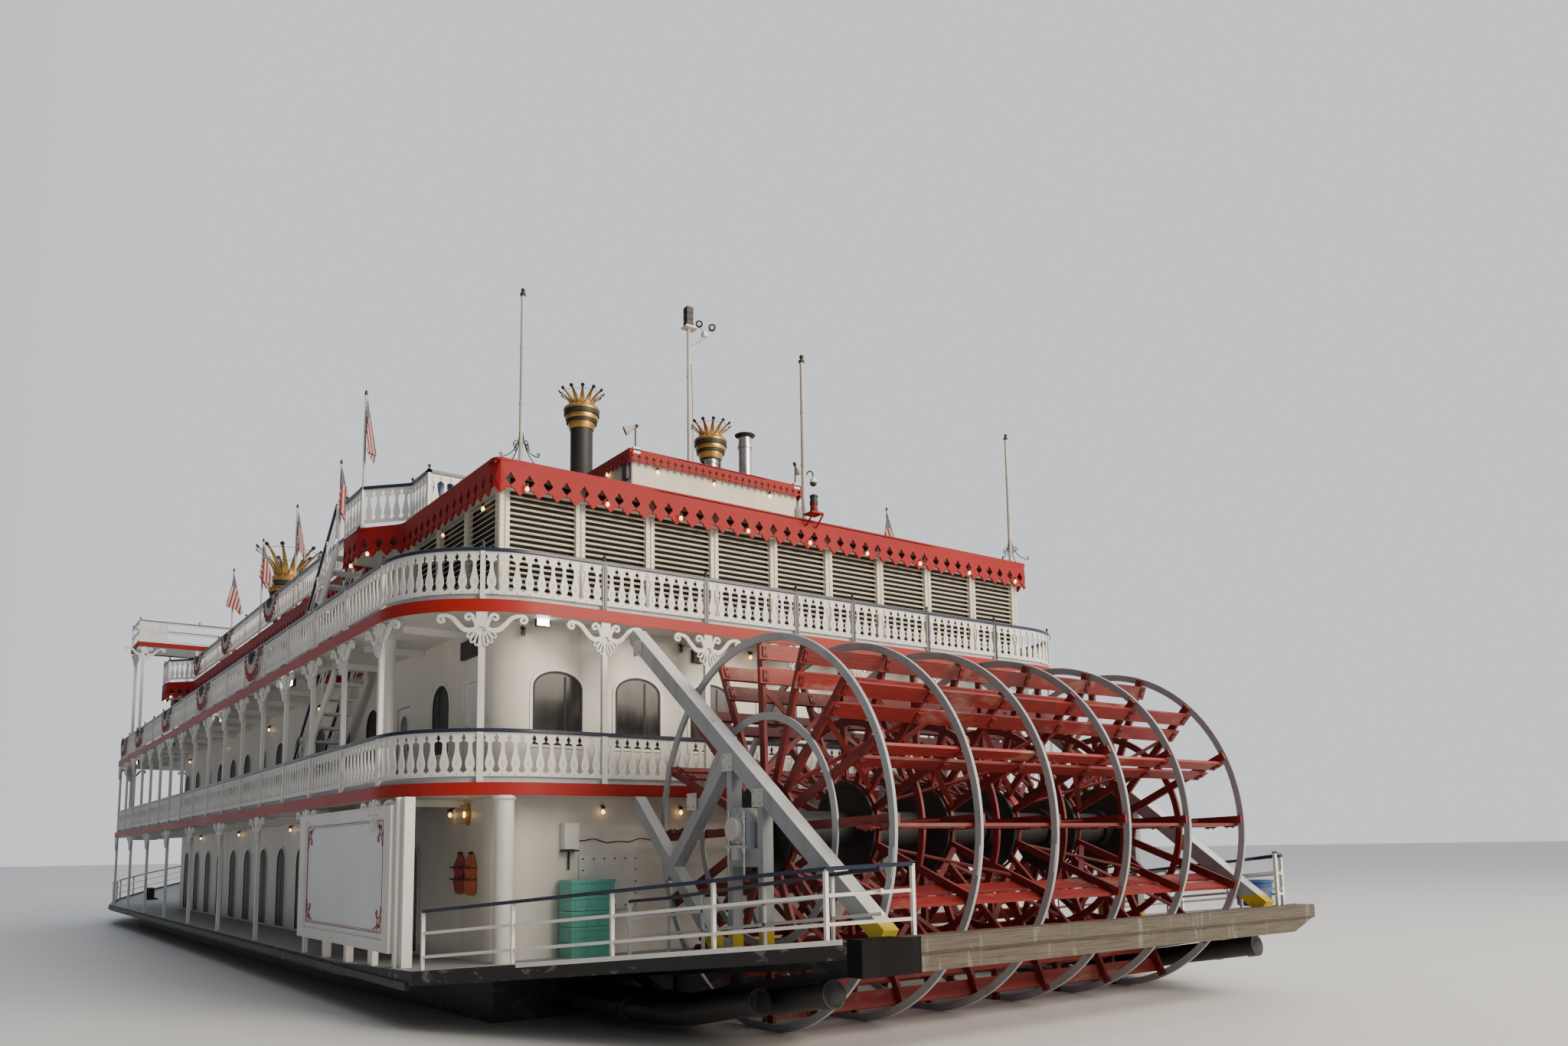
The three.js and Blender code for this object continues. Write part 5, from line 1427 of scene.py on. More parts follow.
def mast_profile(r0, r1, height):
    """Profiles of a tapered pole with two collars, and of its cap and ball."""
    turn = np.linspace(0.6, 2.9, 6)
    ball = np.stack([1.15 * r1 * np.sin(turn), height + 2.2 * r1 - 1.15 * r1 * np.cos(turn)], 1)
    pole = [(r0 * 1.25, 0), (r0 * 1.25, 0.03), (r0, 0.04)]
    for k in (0.35, 0.68):
        r, h = r0 + (r1 - r0) * k, height * k
        pole += [(r, h - 0.012), (r * 1.18, h - 0.010), (r * 1.18, h + 0.010), (r, h + 0.012)]
    neck = height - 0.02
    cap = [(r1 * 1.5, neck), (r1 * 1.5, height + 0.01), (r1 * 0.6, height + 0.02), *ball]
    return [*pole, (r1, neck)], cap


def masts():
    """Flagpoles and the four tall masts, with scrolled iron at the feet of the after pair."""
    white, dark = Mesh(), Mesh()
    on_roof = ROOF_Z + 0.001
    for plan, r0, r1, foot, top in (
            (POLES, 0.021, 0.013, on_roof, POLE_TOP - 0.055), (AFTER_MASTS, 0.028, 0.020, on_roof, 8.47),
            ([STERN_LANTERN_MAST], 0.034, 0.026, on_roof, 8.70),
            ([ANTENNA_MAST], 0.032, 0.024, 7.811, 10.30)):
        pole, cap = mast_profile(r0, r1, top - foot)
        white.add(turned(pole, raised(plan, foot), 16))
        dark.add(turned(cap, raised(plan, foot), 12))
    foot_curve = curve_through([(0.022, 0.34), (0.035, 0.26), (0.07, 0.17), (0.14, 0.08), (0.25, 0.012)], 5)
    stay = np.concatenate([foot_curve, spiral((0.262, 0.036), 0.024, 0.008, -100, 250, 10)])
    curl = np.concatenate([curve_through([(0.024, 0.22), (0.07, 0.235), (0.105, 0.20)], 4),
                           spiral((0.085, 0.185), 0.024, 0.008, 20, -330, 9)])
    for foot in raised(AFTER_MASTS, ROOF_Z):
        for outward in ring(4, 1.0, phase=0.3):
            for path in (stay, curl):
                points = foot + path[:, :1] * outward + path[:, 1:] * UP
                dark.add(sweep(points, circle(0.0055, 6), np.cross(outward, UP)))
    white.piece("mast_poles", "mast", smooth=40, replaces=[*both("mast_aft"), "mast_antenna", "mast_lantern"])
    dark.piece("mast_iron", "black", smooth=40)


def limp_cloth(fly, hoist, folds, spread, phase, steps=(44, 22)):
    """A flag hanging from its top inner corner, its hoist edge down the pole. Every thread from that corner
    is straight, and its direction wanders over a sphere by as many radians as the flat flag's corner
    angle, so the cloth keeps its area: direction = (a, b), a = spread t^0.8, b = swing sin(2 pi folds t
    + phase) sqrt(t) for t from 0 at the pole to 1, with swing set so that the path is a quarter turn long.
    Returns points, faces, fly share and hoist share."""
    t = np.linspace(0, 1, 600)

    def path(swing):
        a = spread * t ** 0.8
        b = swing * np.sin(2 * np.pi * folds * t + phase) * np.sqrt(t)
        d = np.stack([np.sin(a) * np.cos(b), np.sin(b), -np.cos(a) * np.cos(b)], 1)
        return d, np.append(0, np.cumsum(np.linalg.norm(np.diff(d, axis=0), axis=1)))

    low, high = 0.0, 0.9
    for _ in range(40):
        mid = (low + high) / 2
        low, high = (mid, high) if path(mid)[1][-1] < np.pi / 2 else (low, mid)
    direction, run = path(low)
    s, h = np.meshgrid(*(np.linspace(0, 1, n + 1) for n in steps), indexing="ij")
    angle = np.arctan2(s * fly, h * hoist + 1e-9)
    reach = np.hypot(s * fly, h * hoist)
    points = reach[..., None] * np.stack([np.interp(angle, run, direction[:, k]) for k in range(3)], -1)
    return points.reshape(-1, 3), grid_quads(steps[0] + 1, steps[1] + 1), s.ravel(), h.ravel()


def flags():
    """Striped flags with a starred blue corner, limp at their poles, blown slightly aft."""
    fly, hoist = 0.76, 0.45
    for k, (x, y) in enumerate(POLES):
        folds, spread = 2.6 + 0.2 * math.sin(2.1 * k), 0.11 + 0.03 * math.sin(k)
        points, quads, s, h = limp_cloth(fly, hoist, folds, spread, 0.5 * k)
        a = math.pi + 0.35 * math.sin(1.7 * k) + (0.5 if y > 0 else -0.5)
        downwind = np.array([math.cos(a), math.sin(a), 0])
        turn = np.array([downwind, [-math.sin(a), math.cos(a), 0], UP])
        start = np.array([x, y, POLE_TOP - 0.10]) + downwind * 0.019
        mesh = Mesh().add(((points @ turn + start)[None], [quads]))
        flag = mesh.piece(f"flag_{k + 1}", "flag", smooth=180, marks={"fly": s, "hoist": h})


FAN_RADIUS, FAN_DROP = 0.50, 0.43


def bunting():
    """Half-round pleated fans. At radius share r and angle a the pleats stand out by
    0.020 (1 - 0.55 r) times a triangle wave, so the strip keeps about its length towards the middle."""
    pleats = 13
    r, a = np.linspace(0.08, 1.0, 12), np.linspace(0, np.pi, 8 * pleats + 1)
    radius, angle = np.meshgrid(r, a, indexing="ij")
    wave = 2 / np.pi * np.arcsin(np.sin(2 * pleats * angle))
    sag = 1 + 0.015 * np.cos(2 * pleats * angle)
    points = rows(-FAN_RADIUS * radius * np.cos(angle), 0.030 + 0.020 * (1 - 0.55 * radius) * wave,
                  -FAN_DROP * radius * np.sin(angle) * sag)
    quads = grid_quads(len(r), len(a))
    marks = {"ring": radius, "turn": angle / np.pi}
    k = 0
    for holder, stops, y, rail_z in (("rail_caps_deck_3", (-6.19, -2.23, 1.73, 5.69, 8.33), SIDE_LINE_Y,
                                      DECK3_Z),
                                     ("rail_caps_roof", (-2.86, 0.95, 4.15), ROOF_RAIL_Y, ROOF_Z)):
        for side, _ in SIDES:
            for x in stops:
                k += 1
                place = x, side * (y + 0.022), rail_z + RAIL_HEIGHT - 0.04
                mesh = Mesh().add(on_wall((points[None], [quads]), place, (0, side, 0)))
                fan = mesh.piece(f"bunting_{k}", "bunting", smooth=180, marks=marks)


# Lamps.

def bulb_string(mesh, sockets, places):
    """Small bulbs, each in a dark socket, hanging from their places."""
    glass = [(0.003, -0.059), (0.012, -0.055), (0.020, -0.042), (0.020, -0.030), (0.011, -0.010),
             (0.004, 0.0)]
    mesh.add(turned(glass, places, 12))
    sockets.add(turned([(0.012, -0.008), (0.016, -0.004), (0.016, 0.022), (0.008, 0.030)], places, 12))


CABIN_EAVE = corners("roof_house_top")[0][:2] * [1, -1]  # the after port corner
LAMP_PITCH = 1.22
# A brass wall lantern in the wall's (u, v, w): back plate, two shelves, four corner bars and an arm.
LANTERN = [(-0.035, 0.0, 2.87, 0.035, 0.014, 3.10), (-0.01, 0.0, 2.98, 0.01, 0.03, 3.0)]
LANTERN += [(-0.032, 0.02, w, 0.032, 0.09, w + 0.012) for w in (2.89, 3.07)]
LANTERN += [(u, v, 2.90, u + 0.006, v + 0.006, 3.07) for u in (-0.03, 0.024) for v in (0.022, 0.082)]


def lamps():
    """Bulbs under the roof's edge, caged lamps on the walls and a brass lantern on each quarter."""
    glow, unlit, dark, brass = (Mesh() for _ in range(4))
    under = CEILING_Z - 0.031
    side_x = np.arange(-12.4, 7.8, LAMP_PITCH)
    side_x = side_x[(np.abs(side_x + 9.55) > 0.75) & (np.abs(side_x - 5.35) > 0.8)]
    stern_cabin = rows(CABIN_EAVE[0] + 0.04, [0.985, 0.093, -0.855], 7.605)
    dark.add(rods(stern_cabin, stern_cabin + 0.13 * UP, 0.005))
    places = [rows(-13.12, 3.7 - 0.925 * np.arange(9), CEILING_Z + 0.026), stern_cabin]
    wall_x = HOUSE_LOW[0]
    wall_lamps = [(rows(wall_x, [-2.79, -1.84, 1.84, 2.79], 3.06), (-1, 0, 0), glow),
                  (rows(wall_x, [-0.877, 0.877], 4.87), (-1, 0, 0), glow),
                  (rows(wall_x, [-3.703, -1.826, 1.826, 3.703], 4.87), (-1, 0, 0), unlit)]
    for side, _ in SIDES:
        out, wall_y = (0, side, 0), side * HOUSE_HIGH[1]
        places += [rows(side_x, side * 3.885, under), rows([-9.9, -9.2, 4.95, 5.75], side * 4.36, under),
                   rows(np.arange(-10.47, 1.0, 1.9), side * (CABIN_EAVE[1] - 0.04), 7.68)]
        wall_lamps += [(rows([-6.48, -3.29, 0.55, 4.36], wall_y, 4.79), out, glow),
                       (rows([-11.9, -8.6, -5.0, -1.2, 2.6], wall_y, 3.06), out, glow)]
        brass.wall_boxes(LANTERN, (-12.32, side * 3.95, 0), out)
        glow.add(turned([(0.003, -0.02), (0.016, -0.012), (0.018, 0.03), (0.003, 0.045)],
                        (-12.32, side * 4.005, 2.97), 12))
    bulb_string(glow, dark, np.concatenate(places))
    for at, out, bulbs in wall_lamps:
        hang = at + 0.05 * np.array(out)
        bulb_string(bulbs, dark, hang - 0.035 * UP)
        dark.add(bars(at, hang, 0.012, 0.012))
        for rib in ring(6, 0.026):
            dark.add(bars(hang + rib - 0.020 * UP, hang + rib * 0.7 - 0.105 * UP, 0.003, 0.003))
        dark.add(turned([(0.030, -0.022), (0.030, -0.016), (0.016, -0.008), (0.016, -0.020)], hang, 12))
    glow.piece("lit_bulbs", "bulb", smooth=60)
    unlit.piece("unlit_bulbs", "amber", smooth=60)
    dark.piece("bulb_cages", "black", smooth=35)
    brass.piece("brass_lanterns", "gold")


def floodlights():
    """Flat floodlights under the deck heads: a grey box, its yoke and a lit face."""
    body, face = Mesh(), Mesh()
    spots = [(rows(-13.22, [3.56, -3.56], 4.90), (-1, 0, 0))]
    spots += [(rows([-8.03, -3.34, 1.65, 6.74], side * 4.74, 4.86), (0, side, 0)) for side, _ in SIDES]
    for places, out in spots:
        body.wall_boxes([(-0.075, -0.03, -0.045, 0.075, 0.012, 0.045),
                         (-0.085, -0.012, -0.01, -0.078, 0.004, 0.07),
                         (0.078, -0.012, -0.01, 0.085, 0.004, 0.07),
                         (-0.085, -0.012, 0.064, 0.085, 0.004, 0.07)], places, out)
        face.wall_boxes([(-0.066, 0.0125, -0.038, 0.066, 0.0145, 0.038)], places, out)
    body.piece("floodlight_bodies", "black")
    face.piece("floodlight_faces", "lamp_white")


# Fantail: railings, bearings and gear.

def fantail_z(x):
    """Level of the fantail deck, which rises aft to the beam."""
    return FANTAIL_FOOT + FANTAIL_SLOPE * (FANTAIL_FORE - np.asarray(x, float))


def pipe_rail(mesh, caps, plan, heights, top, size=0.03, level=fantail_z, bare=0):
    """A rail over a sloping deck: square posts along its plan but for the last bare points, thin bars at
    heights and a navy rail on top."""
    path = raised(plan, level(np.asarray(plan)[:, 0]))
    posts = path[:len(path) - bare]
    mesh.add(boxes(posts - [size / 2, size / 2, 0.0], posts + [size / 2, size / 2, top]))
    for h in heights:
        mesh.add(bars(path[:-1] + h * UP, path[1:] + h * UP, 0.026, 0.026))
    caps.add(bars(path[:-1] + top * UP, path[1:] + top * UP, 0.046, 0.030))


def fantail_rails():
    """Rails along the slanting edge and inside it by the truss, and the beam's black end plate to port."""
    mesh, caps = Mesh(), Mesh()
    a, b = np.array([-13.46, 4.80]), np.array([-17.30, 3.03])
    outer = np.array([*(a + share * (b - a) for share in (0.0, 0.25, 0.5, 0.73, 0.96)), (-17.43, 2.50)])
    inner = np.array([(-14.1, 3.05), (-14.4, 2.80), (-15.0, 2.80), (-15.95, 2.80), (-16.85, 2.80),
                      (-17.36, 2.74)])
    for side, _ in SIDES:
        pipe_rail(mesh, caps, outer * [1, side], (0.12, 0.33), RAIL_HEIGHT)
        pipe_rail(mesh, caps, inner * [1, side], (0.17, 0.34), 0.50, 0.026, bare=1)
    x0, x1, y0, y1, thick = -17.505, -17.34, 2.5, 3.075, 0.009
    plan = [(x0, y1), (x1, y1), (x1, y1 - thick), (x0 + thick, y1 - thick), (x0 + thick, y0), (x0, y0)]
    cheek = Mesh().add(slab(plan, 1.657, 1.9215))
    cheek.add(boxes([x0, 2.66, 1.9205], [x1, y1, 1.9245]))
    cheek.piece("beam_cheek", "cheek")
    mesh.piece("fantail_rail_bars", "white", replaces=both("fantail_rail"))
    caps.piece("fantail_rail_caps", "navy")


def foredeck_z(x):
    """Level of the rising foredeck: 1.46 up to x 9, then straight runs between its five stations."""
    stations = np.array([9.0, 11.5, 13.5, 15.5, 17.5])
    return np.interp(x, stations, MAIN_DECK_Z + 0.69 * ((stations - 9.0) / 8.5) ** 2)


BITT = [(0.075, 0.0), (0.075, 0.25), (0.092, 0.262), (0.092, 0.286), (0.07, 0.305), (0.002, 0.308)]
CAPSTAN = [(0.36, -0.02), (0.36, 0.05), (0.25, 0.08), (0.17, 0.16), (0.155, 0.27), (0.19, 0.36),
           (0.245, 0.41), (0.25, 0.48), (0.20, 0.52), (0.06, 0.54), (0.002, 0.541)]
STAFF = [(0.034, -0.01), (0.030, 1.0), (0.016, 2.25), (0.002, 2.251)]
STAFF_BALL = [(0.002, 2.24), (0.035, 2.26), (0.045, 2.29), (0.035, 2.325), (0.002, 2.336)]


def foredeck():
    """Pipe rail and toe strip round the open foredeck, double bitts, a capstan and a jack staff."""
    white, caps, dark, gold = (Mesh() for _ in range(4))
    rim = np.array([(9.60, 4.79), (11.48, 4.43), (13.46, 3.59), (15.44, 2.30), (16.83, 0.97), (17.42, 0.27)])
    line = Route(np.concatenate([rim, rim[::-1] * [1, -1]]), ring_closed=False)
    far = line.length
    stops = [line.near(p) for p in rim]
    stops.append(far - stops[-1])
    posts = [np.linspace(a, b, max(2, round((b - a) / 1.05) + 1)) for a, b in zip(stops, stops[1:])]
    posts = np.concatenate(posts)
    posts = np.unique(np.round(np.concatenate([posts, far - posts]), 4))
    plan, _ = line.at(posts)
    pipe_rail(white, caps, plan, (0.18, 0.35), RAIL_HEIGHT, 0.034, foredeck_z)
    foot = raised(plan, foredeck_z(plan[:, 0]) + 0.02)
    dark.add(bars(foot[:-1], foot[1:], 0.05, 0.04))
    for x, y in ((11.2, 3.75), (14.3, 2.35)):
        for side, _ in SIDES:
            at = np.array([x, side * y, foredeck_z(x)])
            dark.add(turned(BITT, [at - 0.19 * AHEAD, at + 0.19 * AHEAD], 20))
            dark.add(box_list([(-0.34, -0.13, -0.02, 0.34, 0.13, 0.03),
                               (-0.19, -0.03, 0.10, 0.19, 0.03, 0.15)], at))
    at = np.array([13.0, 0, foredeck_z(13.0)])
    dark.add(turned(CAPSTAN, at, 40))
    dark.add(bars(at + ring(6, 0.185, 0.10), at + ring(6, 0.215, 0.39), 0.035, 0.05))
    at = np.array([17.2, 0, foredeck_z(17.2)])
    white.add(turned(STAFF, at, 16))
    gold.add(turned(STAFF_BALL, at, 16))
    white.add(bars(at + 0.9 * UP, rows(16.45, [0.35, -0.35], foredeck_z(16.45)), 0.02, 0.02))
    white.piece("foredeck_rail_bars", "white", smooth=40)
    caps.piece("foredeck_rail_caps", "navy")
    dark.piece("foredeck_bitts", "black", smooth=35)
    gold.piece("jack_staff_ball", "gold", smooth=60)


def exhaust_tips():
    """The after ends of the engine exhausts, rising under the fantail, each with a rolled rim."""
    mesh = Mesh()
    for side, _ in SIDES:
        for path in (
                [(-14.78, 2.81, 1.192), (-15.3, 2.82, 1.215), (-16.2, 2.86, 1.36), (-16.95, 2.88, 1.485)],
                [(-15.03, 3.26, 1.192), (-15.4, 3.20, 1.215), (-15.9, 3.16, 1.31), (-16.35, 3.14, 1.39)]):
            line = curve_through(path, 7) * [1, side, 1]
            mesh.add(sweep(line, circle(0.100, 24)))
            mesh.add(sweep(line[-2:], circle(0.112, 24)))
    mesh.piece("exhaust_tips", "black", smooth=40)


def fantail_lines():
    """The white line painted along the fantail's upper edge."""
    mesh, x = Mesh(), np.array([-13.40, -17.31])
    for side, _ in SIDES:
        start, stop = rows(x, side * np.array([4.835, 3.095]), fantail_z(x) - 0.012)
        mesh.add(bars(start, stop, 0.012, 0.038))
    mesh.piece("fantail_lines", "white")


def life_jacket(place, out, wide, tall, thick, name):
    """A limp buoyancy jacket hung flat on a wall: at height share w the half width is wide times a
    waisted profile, and the padding is cut by sewn channels, cos(6 pi w) deep."""
    w = np.linspace(0, 1, 30)
    waist = np.interp(w, [0, 0.04, 0.15, 0.5, 0.72, 0.9, 1.0], [0.55, 0.86, 1.0, 0.90, 0.97, 0.70, 0.30])
    pad = thick * np.sin(np.pi * np.clip(w, 0.012, 0.988)) ** 0.35 * (0.82 + 0.18 * np.cos(6 * np.pi * w))
    a = np.linspace(0, 2 * np.pi, 36, endpoint=False)
    u = 0.5 * wide * waist[:, None] * np.sign(np.cos(a)) * np.abs(np.cos(a)) ** 0.6
    crown = 0.78 + 0.22 * np.cos(4 * np.pi * u / wide)
    v = pad[:, None] * np.maximum(np.sin(a), -0.1) * crown + 0.1 * thick
    rings = np.stack([u, v, np.broadcast_to(tall * w[:, None], u.shape)], -1)
    jacket = Mesh().add(on_wall(loft(rings[None, :, ::-1]), place, out))
    jacket.piece(name, name.rsplit("_", 1)[0], smooth=60)


def life_jackets():
    """Two pairs of jackets on the quarter walls of the main deck house, with their belts and hooks."""
    belts = Mesh()
    for side, name in SIDES:
        y, out = side * (HOUSE_HIGH[1] + 0.006), (0, side, 0)
        for x, z, tall, thick, colour in ((-12.42, 2.155, 0.42, 0.065, "orange"),
                                          (-12.12, 2.165, 0.41, 0.060, "red")):
            life_jacket((x, y, z), out, 0.29, tall, thick, f"jacket_{colour}_{name}")
            belts.wall_boxes([(-0.138, 0, 2.31, 0.138, 0.070, 2.326), (-0.138, 0, 2.43, 0.138, 0.070, 2.446),
                              (-0.02, -0.006, 2.575, 0.02, 0.03, 2.60)], (x, y, 0), out)
    belts.piece("jacket_belts", "black")


def athwart(form, side):
    """A form turned about an upright axis laid over so that its top points out to port or starboard."""
    points, faces = form
    x, y, z = np.moveaxis(points, -1, 0)
    return np.stack([x, side * z, -side * y], -1), faces


def bearings():
    """Pillow blocks on the trusses: ringed cap, closed boss over the shaft's end, plate, rods and nuts."""
    mesh, steel = Mesh(), Mesh()
    cap = [(0.086, 0.0), (0.128, 0.0), (0.132, 0.008), (0.128, 0.020), (0.104, 0.024), (0.100, 0.070),
           (0.104, 0.078), (0.098, 0.088), (0.060, 0.096), (0.002, 0.097), (0.002, 0.088), (0.086, 0.086),
           (0.086, 0.0)]
    bolt_circle = 0.118
    for side, _ in SIDES:
        face = side * 2.6755
        centre = np.array([WHEEL_X, face, WHEEL_Z])
        mesh.add(moved(athwart(turned(cap, sides=40), side), centre + [0, side * 0.0005, 0]))
        mesh.add(box_list([(-0.15, 0, -0.165, 0.15, side * 0.0545, -0.140),
                           (-0.045, 0, -0.27, 0.045, side * 0.0545, -0.166)], centre))
        low = centre + np.array([[-bolt_circle, side * 0.0295, -0.40], [bolt_circle, side * 0.0295, -0.40]])
        steel.add(rods(low, low + 0.56 * UP, 0.011, sides=10))
        for h in (0.20, 0.22, 0.46, 0.50):
            steel.add(rods(low + h * UP, low + (h + 0.016) * UP, 0.021, sides=6))
        bolts = on_wheel(bolt_circle, np.arange(8) * np.pi / 4 + 0.4, face + side * 0.0205)
        steel.add(rods(bolts, bolts + side * 0.016 * ATHWART, 0.010, sides=6))
        # Bolted splice plates where the diagonals cross the uprights.
        for x, z in ((-15.70, 3.02), (-15.23, 1.72), (-14.63, 3.03), (-15.23, 3.36), (-13.60, 4.66)):
            mesh.add(boxes([x - 0.08, face, z - 0.08], [x + 0.08, face + side * 0.0085, z + 0.08]))
            at = rows(x + np.array([-0.05, -0.05, 0.05, 0.05]), face + side * 0.0085,
                      z + np.array([-0.05, 0.05, -0.05, 0.05]))
            steel.add(rods(at, at + side * 0.012 * ATHWART, 0.010, sides=6))
    mesh.piece("bearing_blocks", "bearing", smooth=35)
    steel.piece("bearing_rods", "steel")


def scroll_corner():
    """A corner scroll in the (u, w) plane: four curls of thin board, three of them ending in a spiral."""
    curves = [([(0.012, 0.235), (0.03, 0.16), (0.085, 0.115), (0.14, 0.13)], 4,
               spiral((0.135, 0.165), 0.034, 0.008, -70, 300, 10)),
              ([(0.235, 0.012), (0.16, 0.03), (0.115, 0.085), (0.13, 0.14)], 4, np.empty((0, 2))),
              ([(0.01, 0.13), (0.05, 0.07)], 3, spiral((0.055, 0.045), 0.026, 0.006, 90, -260, 9)),
              ([(0.13, 0.01), (0.09, 0.05)], 3, spiral((0.10, 0.045), 0.022, 0.006, 150, 480, 9))]
    return together(*(ribbon(np.concatenate([curve_through(path, steps), curl]), 0.008, 0.004)
                      for path, steps, curl in curves))


def sign():
    """The blank panel beside the port quarter: framed on feet, with a thin border and corner scrolls."""
    white, panel, red = Mesh(), Mesh(), Mesh()
    mid_x, mid_z, half_long, half_high, y = -11.04, 2.375, 1.5, 0.625, HALF_BEAM - 0.022
    box = oblong(half_long, mid_z - half_high, mid_z + half_high)
    place, on_face, out = (mid_x, y, 0), (mid_x, y + 0.0062, 0), (0, 1, 0)
    board = [(-1.67, 1.65), (1.75, 1.65), (1.75, 3.06), (-1.67, 3.06)]
    white.add(on_wall(sawn(board, [box(0)], 0.040), place, out))
    white.add(on_wall(frame_of(box, 0.03, -0.015, 0.056), place, out))
    white.add(box_list([(-12.88, 4.70, 1.46, -12.80, 4.80, 3.13), (-12.79, 4.76, 1.46, -12.72, 4.84, 3.13)]))
    white.add(box_list([(x - 0.05, 4.76, 1.46, x + 0.05, 4.835, 1.66) for x in (-12.0, -11.15, -10.3)]))
    panel.add(on_wall(sawn(box(-0.001), (), 0.016), (mid_x, y - 0.004, 0), out))
    for outer, inner in ((-0.075, -0.083), (-0.095, -0.099)):
        red.add(on_wall(frame_of(box, outer, inner, 0.004), on_face, out))
    for sx in (1, -1):
        for sz in (1, -1):
            corner = mid_x - sx * (half_long - 0.1), y + 0.0065, mid_z - sz * (half_high - 0.1)
            red.add(on_wall(flipped(scroll_corner(), (sx, 1, sz)), corner, out))
    white.piece("sign_frame", "white", replaces=["sign_panel"])
    panel.piece("sign_board", "panel")
    red.piece("sign_ornament", "scroll_red")


def stern_fittings():
    """Boxes, cable, bolted panel and stacked crates at the stern wall; round columns; a tub; a locker."""
    white, dark, teal, blue = (Mesh() for _ in range(4))
    wall = HOUSE_LOW[0] * AHEAD
    x, port = wall[0], HOUSE_HIGH[1]
    white.add(box_list([(-0.10, 3.09, 2.61, 0, 3.25, 2.87), (-0.018, 2.35, 1.98, 0, 3.045, 2.545),
                        (-0.106, 3.082, 2.866, 0, 3.258, 2.876)], wall))
    bolts = [(x - 0.018, y, z) for y in np.linspace(2.39, 3.005, 6) for z in (2.02, 2.505)]
    bolts += [(x - 0.018, y, z) for z in np.linspace(2.14, 2.39, 3) for y in (2.39, 3.005)]
    dark.add(rods(bolts, np.array(bolts) - 0.008 * AHEAD, 0.009, sides=6))
    y = np.linspace(3.08, 2.02, 24)
    cable = rows(x - 0.012, y, 2.69 + 0.016 * np.sin(9 * y) - 0.01 * np.cos(23 * y))
    dark.add(sweep(cable, circle(0.006, 6)))
    dark.add(box_list([(-0.03, 3.16, 2.40, -0.012, 3.175, 2.60), (-0.10, 3.085, 2.585, -0.004, 3.255, 2.60),
                       (-0.05, 1.52, 4.68, 0, 1.66, 4.83), (0.435, port, 4.63, 0.925, port + 0.04, 4.82),
                       (-0.31, 2.84, 1.4625, -0.25, 2.88, 1.53),
                       (-0.31, 3.21, 1.4625, -0.25, 3.25, 1.53)], wall))
    y0, y1 = 2.80, 3.29
    crate = [(-0.335, y0 + 0.008, 0, -0.05, y1 - 0.008, 0.118), (-0.345, y0, 0.118, -0.04, y1, 0.150),
             (-0.34, y0 + 0.02, 0.05, -0.334, y1 - 0.02, 0.062)]
    crate += [(-0.343, y - 0.008, 0.002, -0.334, y + 0.008, 0.117)
              for y in np.linspace(y0 + 0.05, y1 - 0.05, 4)]
    for z in 1.53 + 0.155 * np.arange(5):
        teal.add(box_list(crate, wall + z * UP))
    for x, y, z0, z1, r in ((-13.28, 3.97, 1.461, DECK2_LOW[2], 0.095),
                            (-11.275, 4.5, DECK2_Z, DECK3_LOW[2], 0.08)):
        tall = z1 - z0
        column = [(r * 1.25, 0), (r * 1.25, 0.03), (r, 0.05), (r, tall - 0.05), (r * 1.2, tall - 0.03),
                  (r * 1.2, tall)]
        white.add(turned(column, rows(x, [y, -y], z0), 32))
    tub = [(0.16, 0.0), (0.175, 0.012), (0.180, 0.10), (0.187, 0.11), (0.183, 0.12), (0.192, 0.235),
           (0.204, 0.245), (0.204, 0.265), (0.190, 0.268), (0.184, 0.24), (0.170, 0.02), (0.002, 0.018)]
    blue.add(turned(tub, (-16.88, -3.0, fantail_z(-16.88) + 0.018), 40))
    blue.add(box_list([(-10.70, y, ROOF_Z + 0.02, -10.45, y + 0.125, 7.05) for y in (3.35, 3.49, 3.63)]))
    dark.add(boxes([-10.705, 3.345, 6.80], [-10.445, 3.76, 6.86]))
    white.piece("wall_boxes_and_columns", "white", smooth=35)
    dark.piece("wall_cables", "black")
    teal.piece("teal_crates", "teal")
    blue.piece("blue_drum_and_locker", "blue", smooth=35)


SIGHT_RIGHT = np.array([-0.599, -0.80, 0.0])


def beside(base, curve):
    """Points (..., 2) set beside a base: u to the right as the photograph sees it, z up."""
    u, z = np.moveaxis(np.asarray(curve, float), -1, 0)[..., None]
    return base + u * SIGHT_RIGHT + z * UP


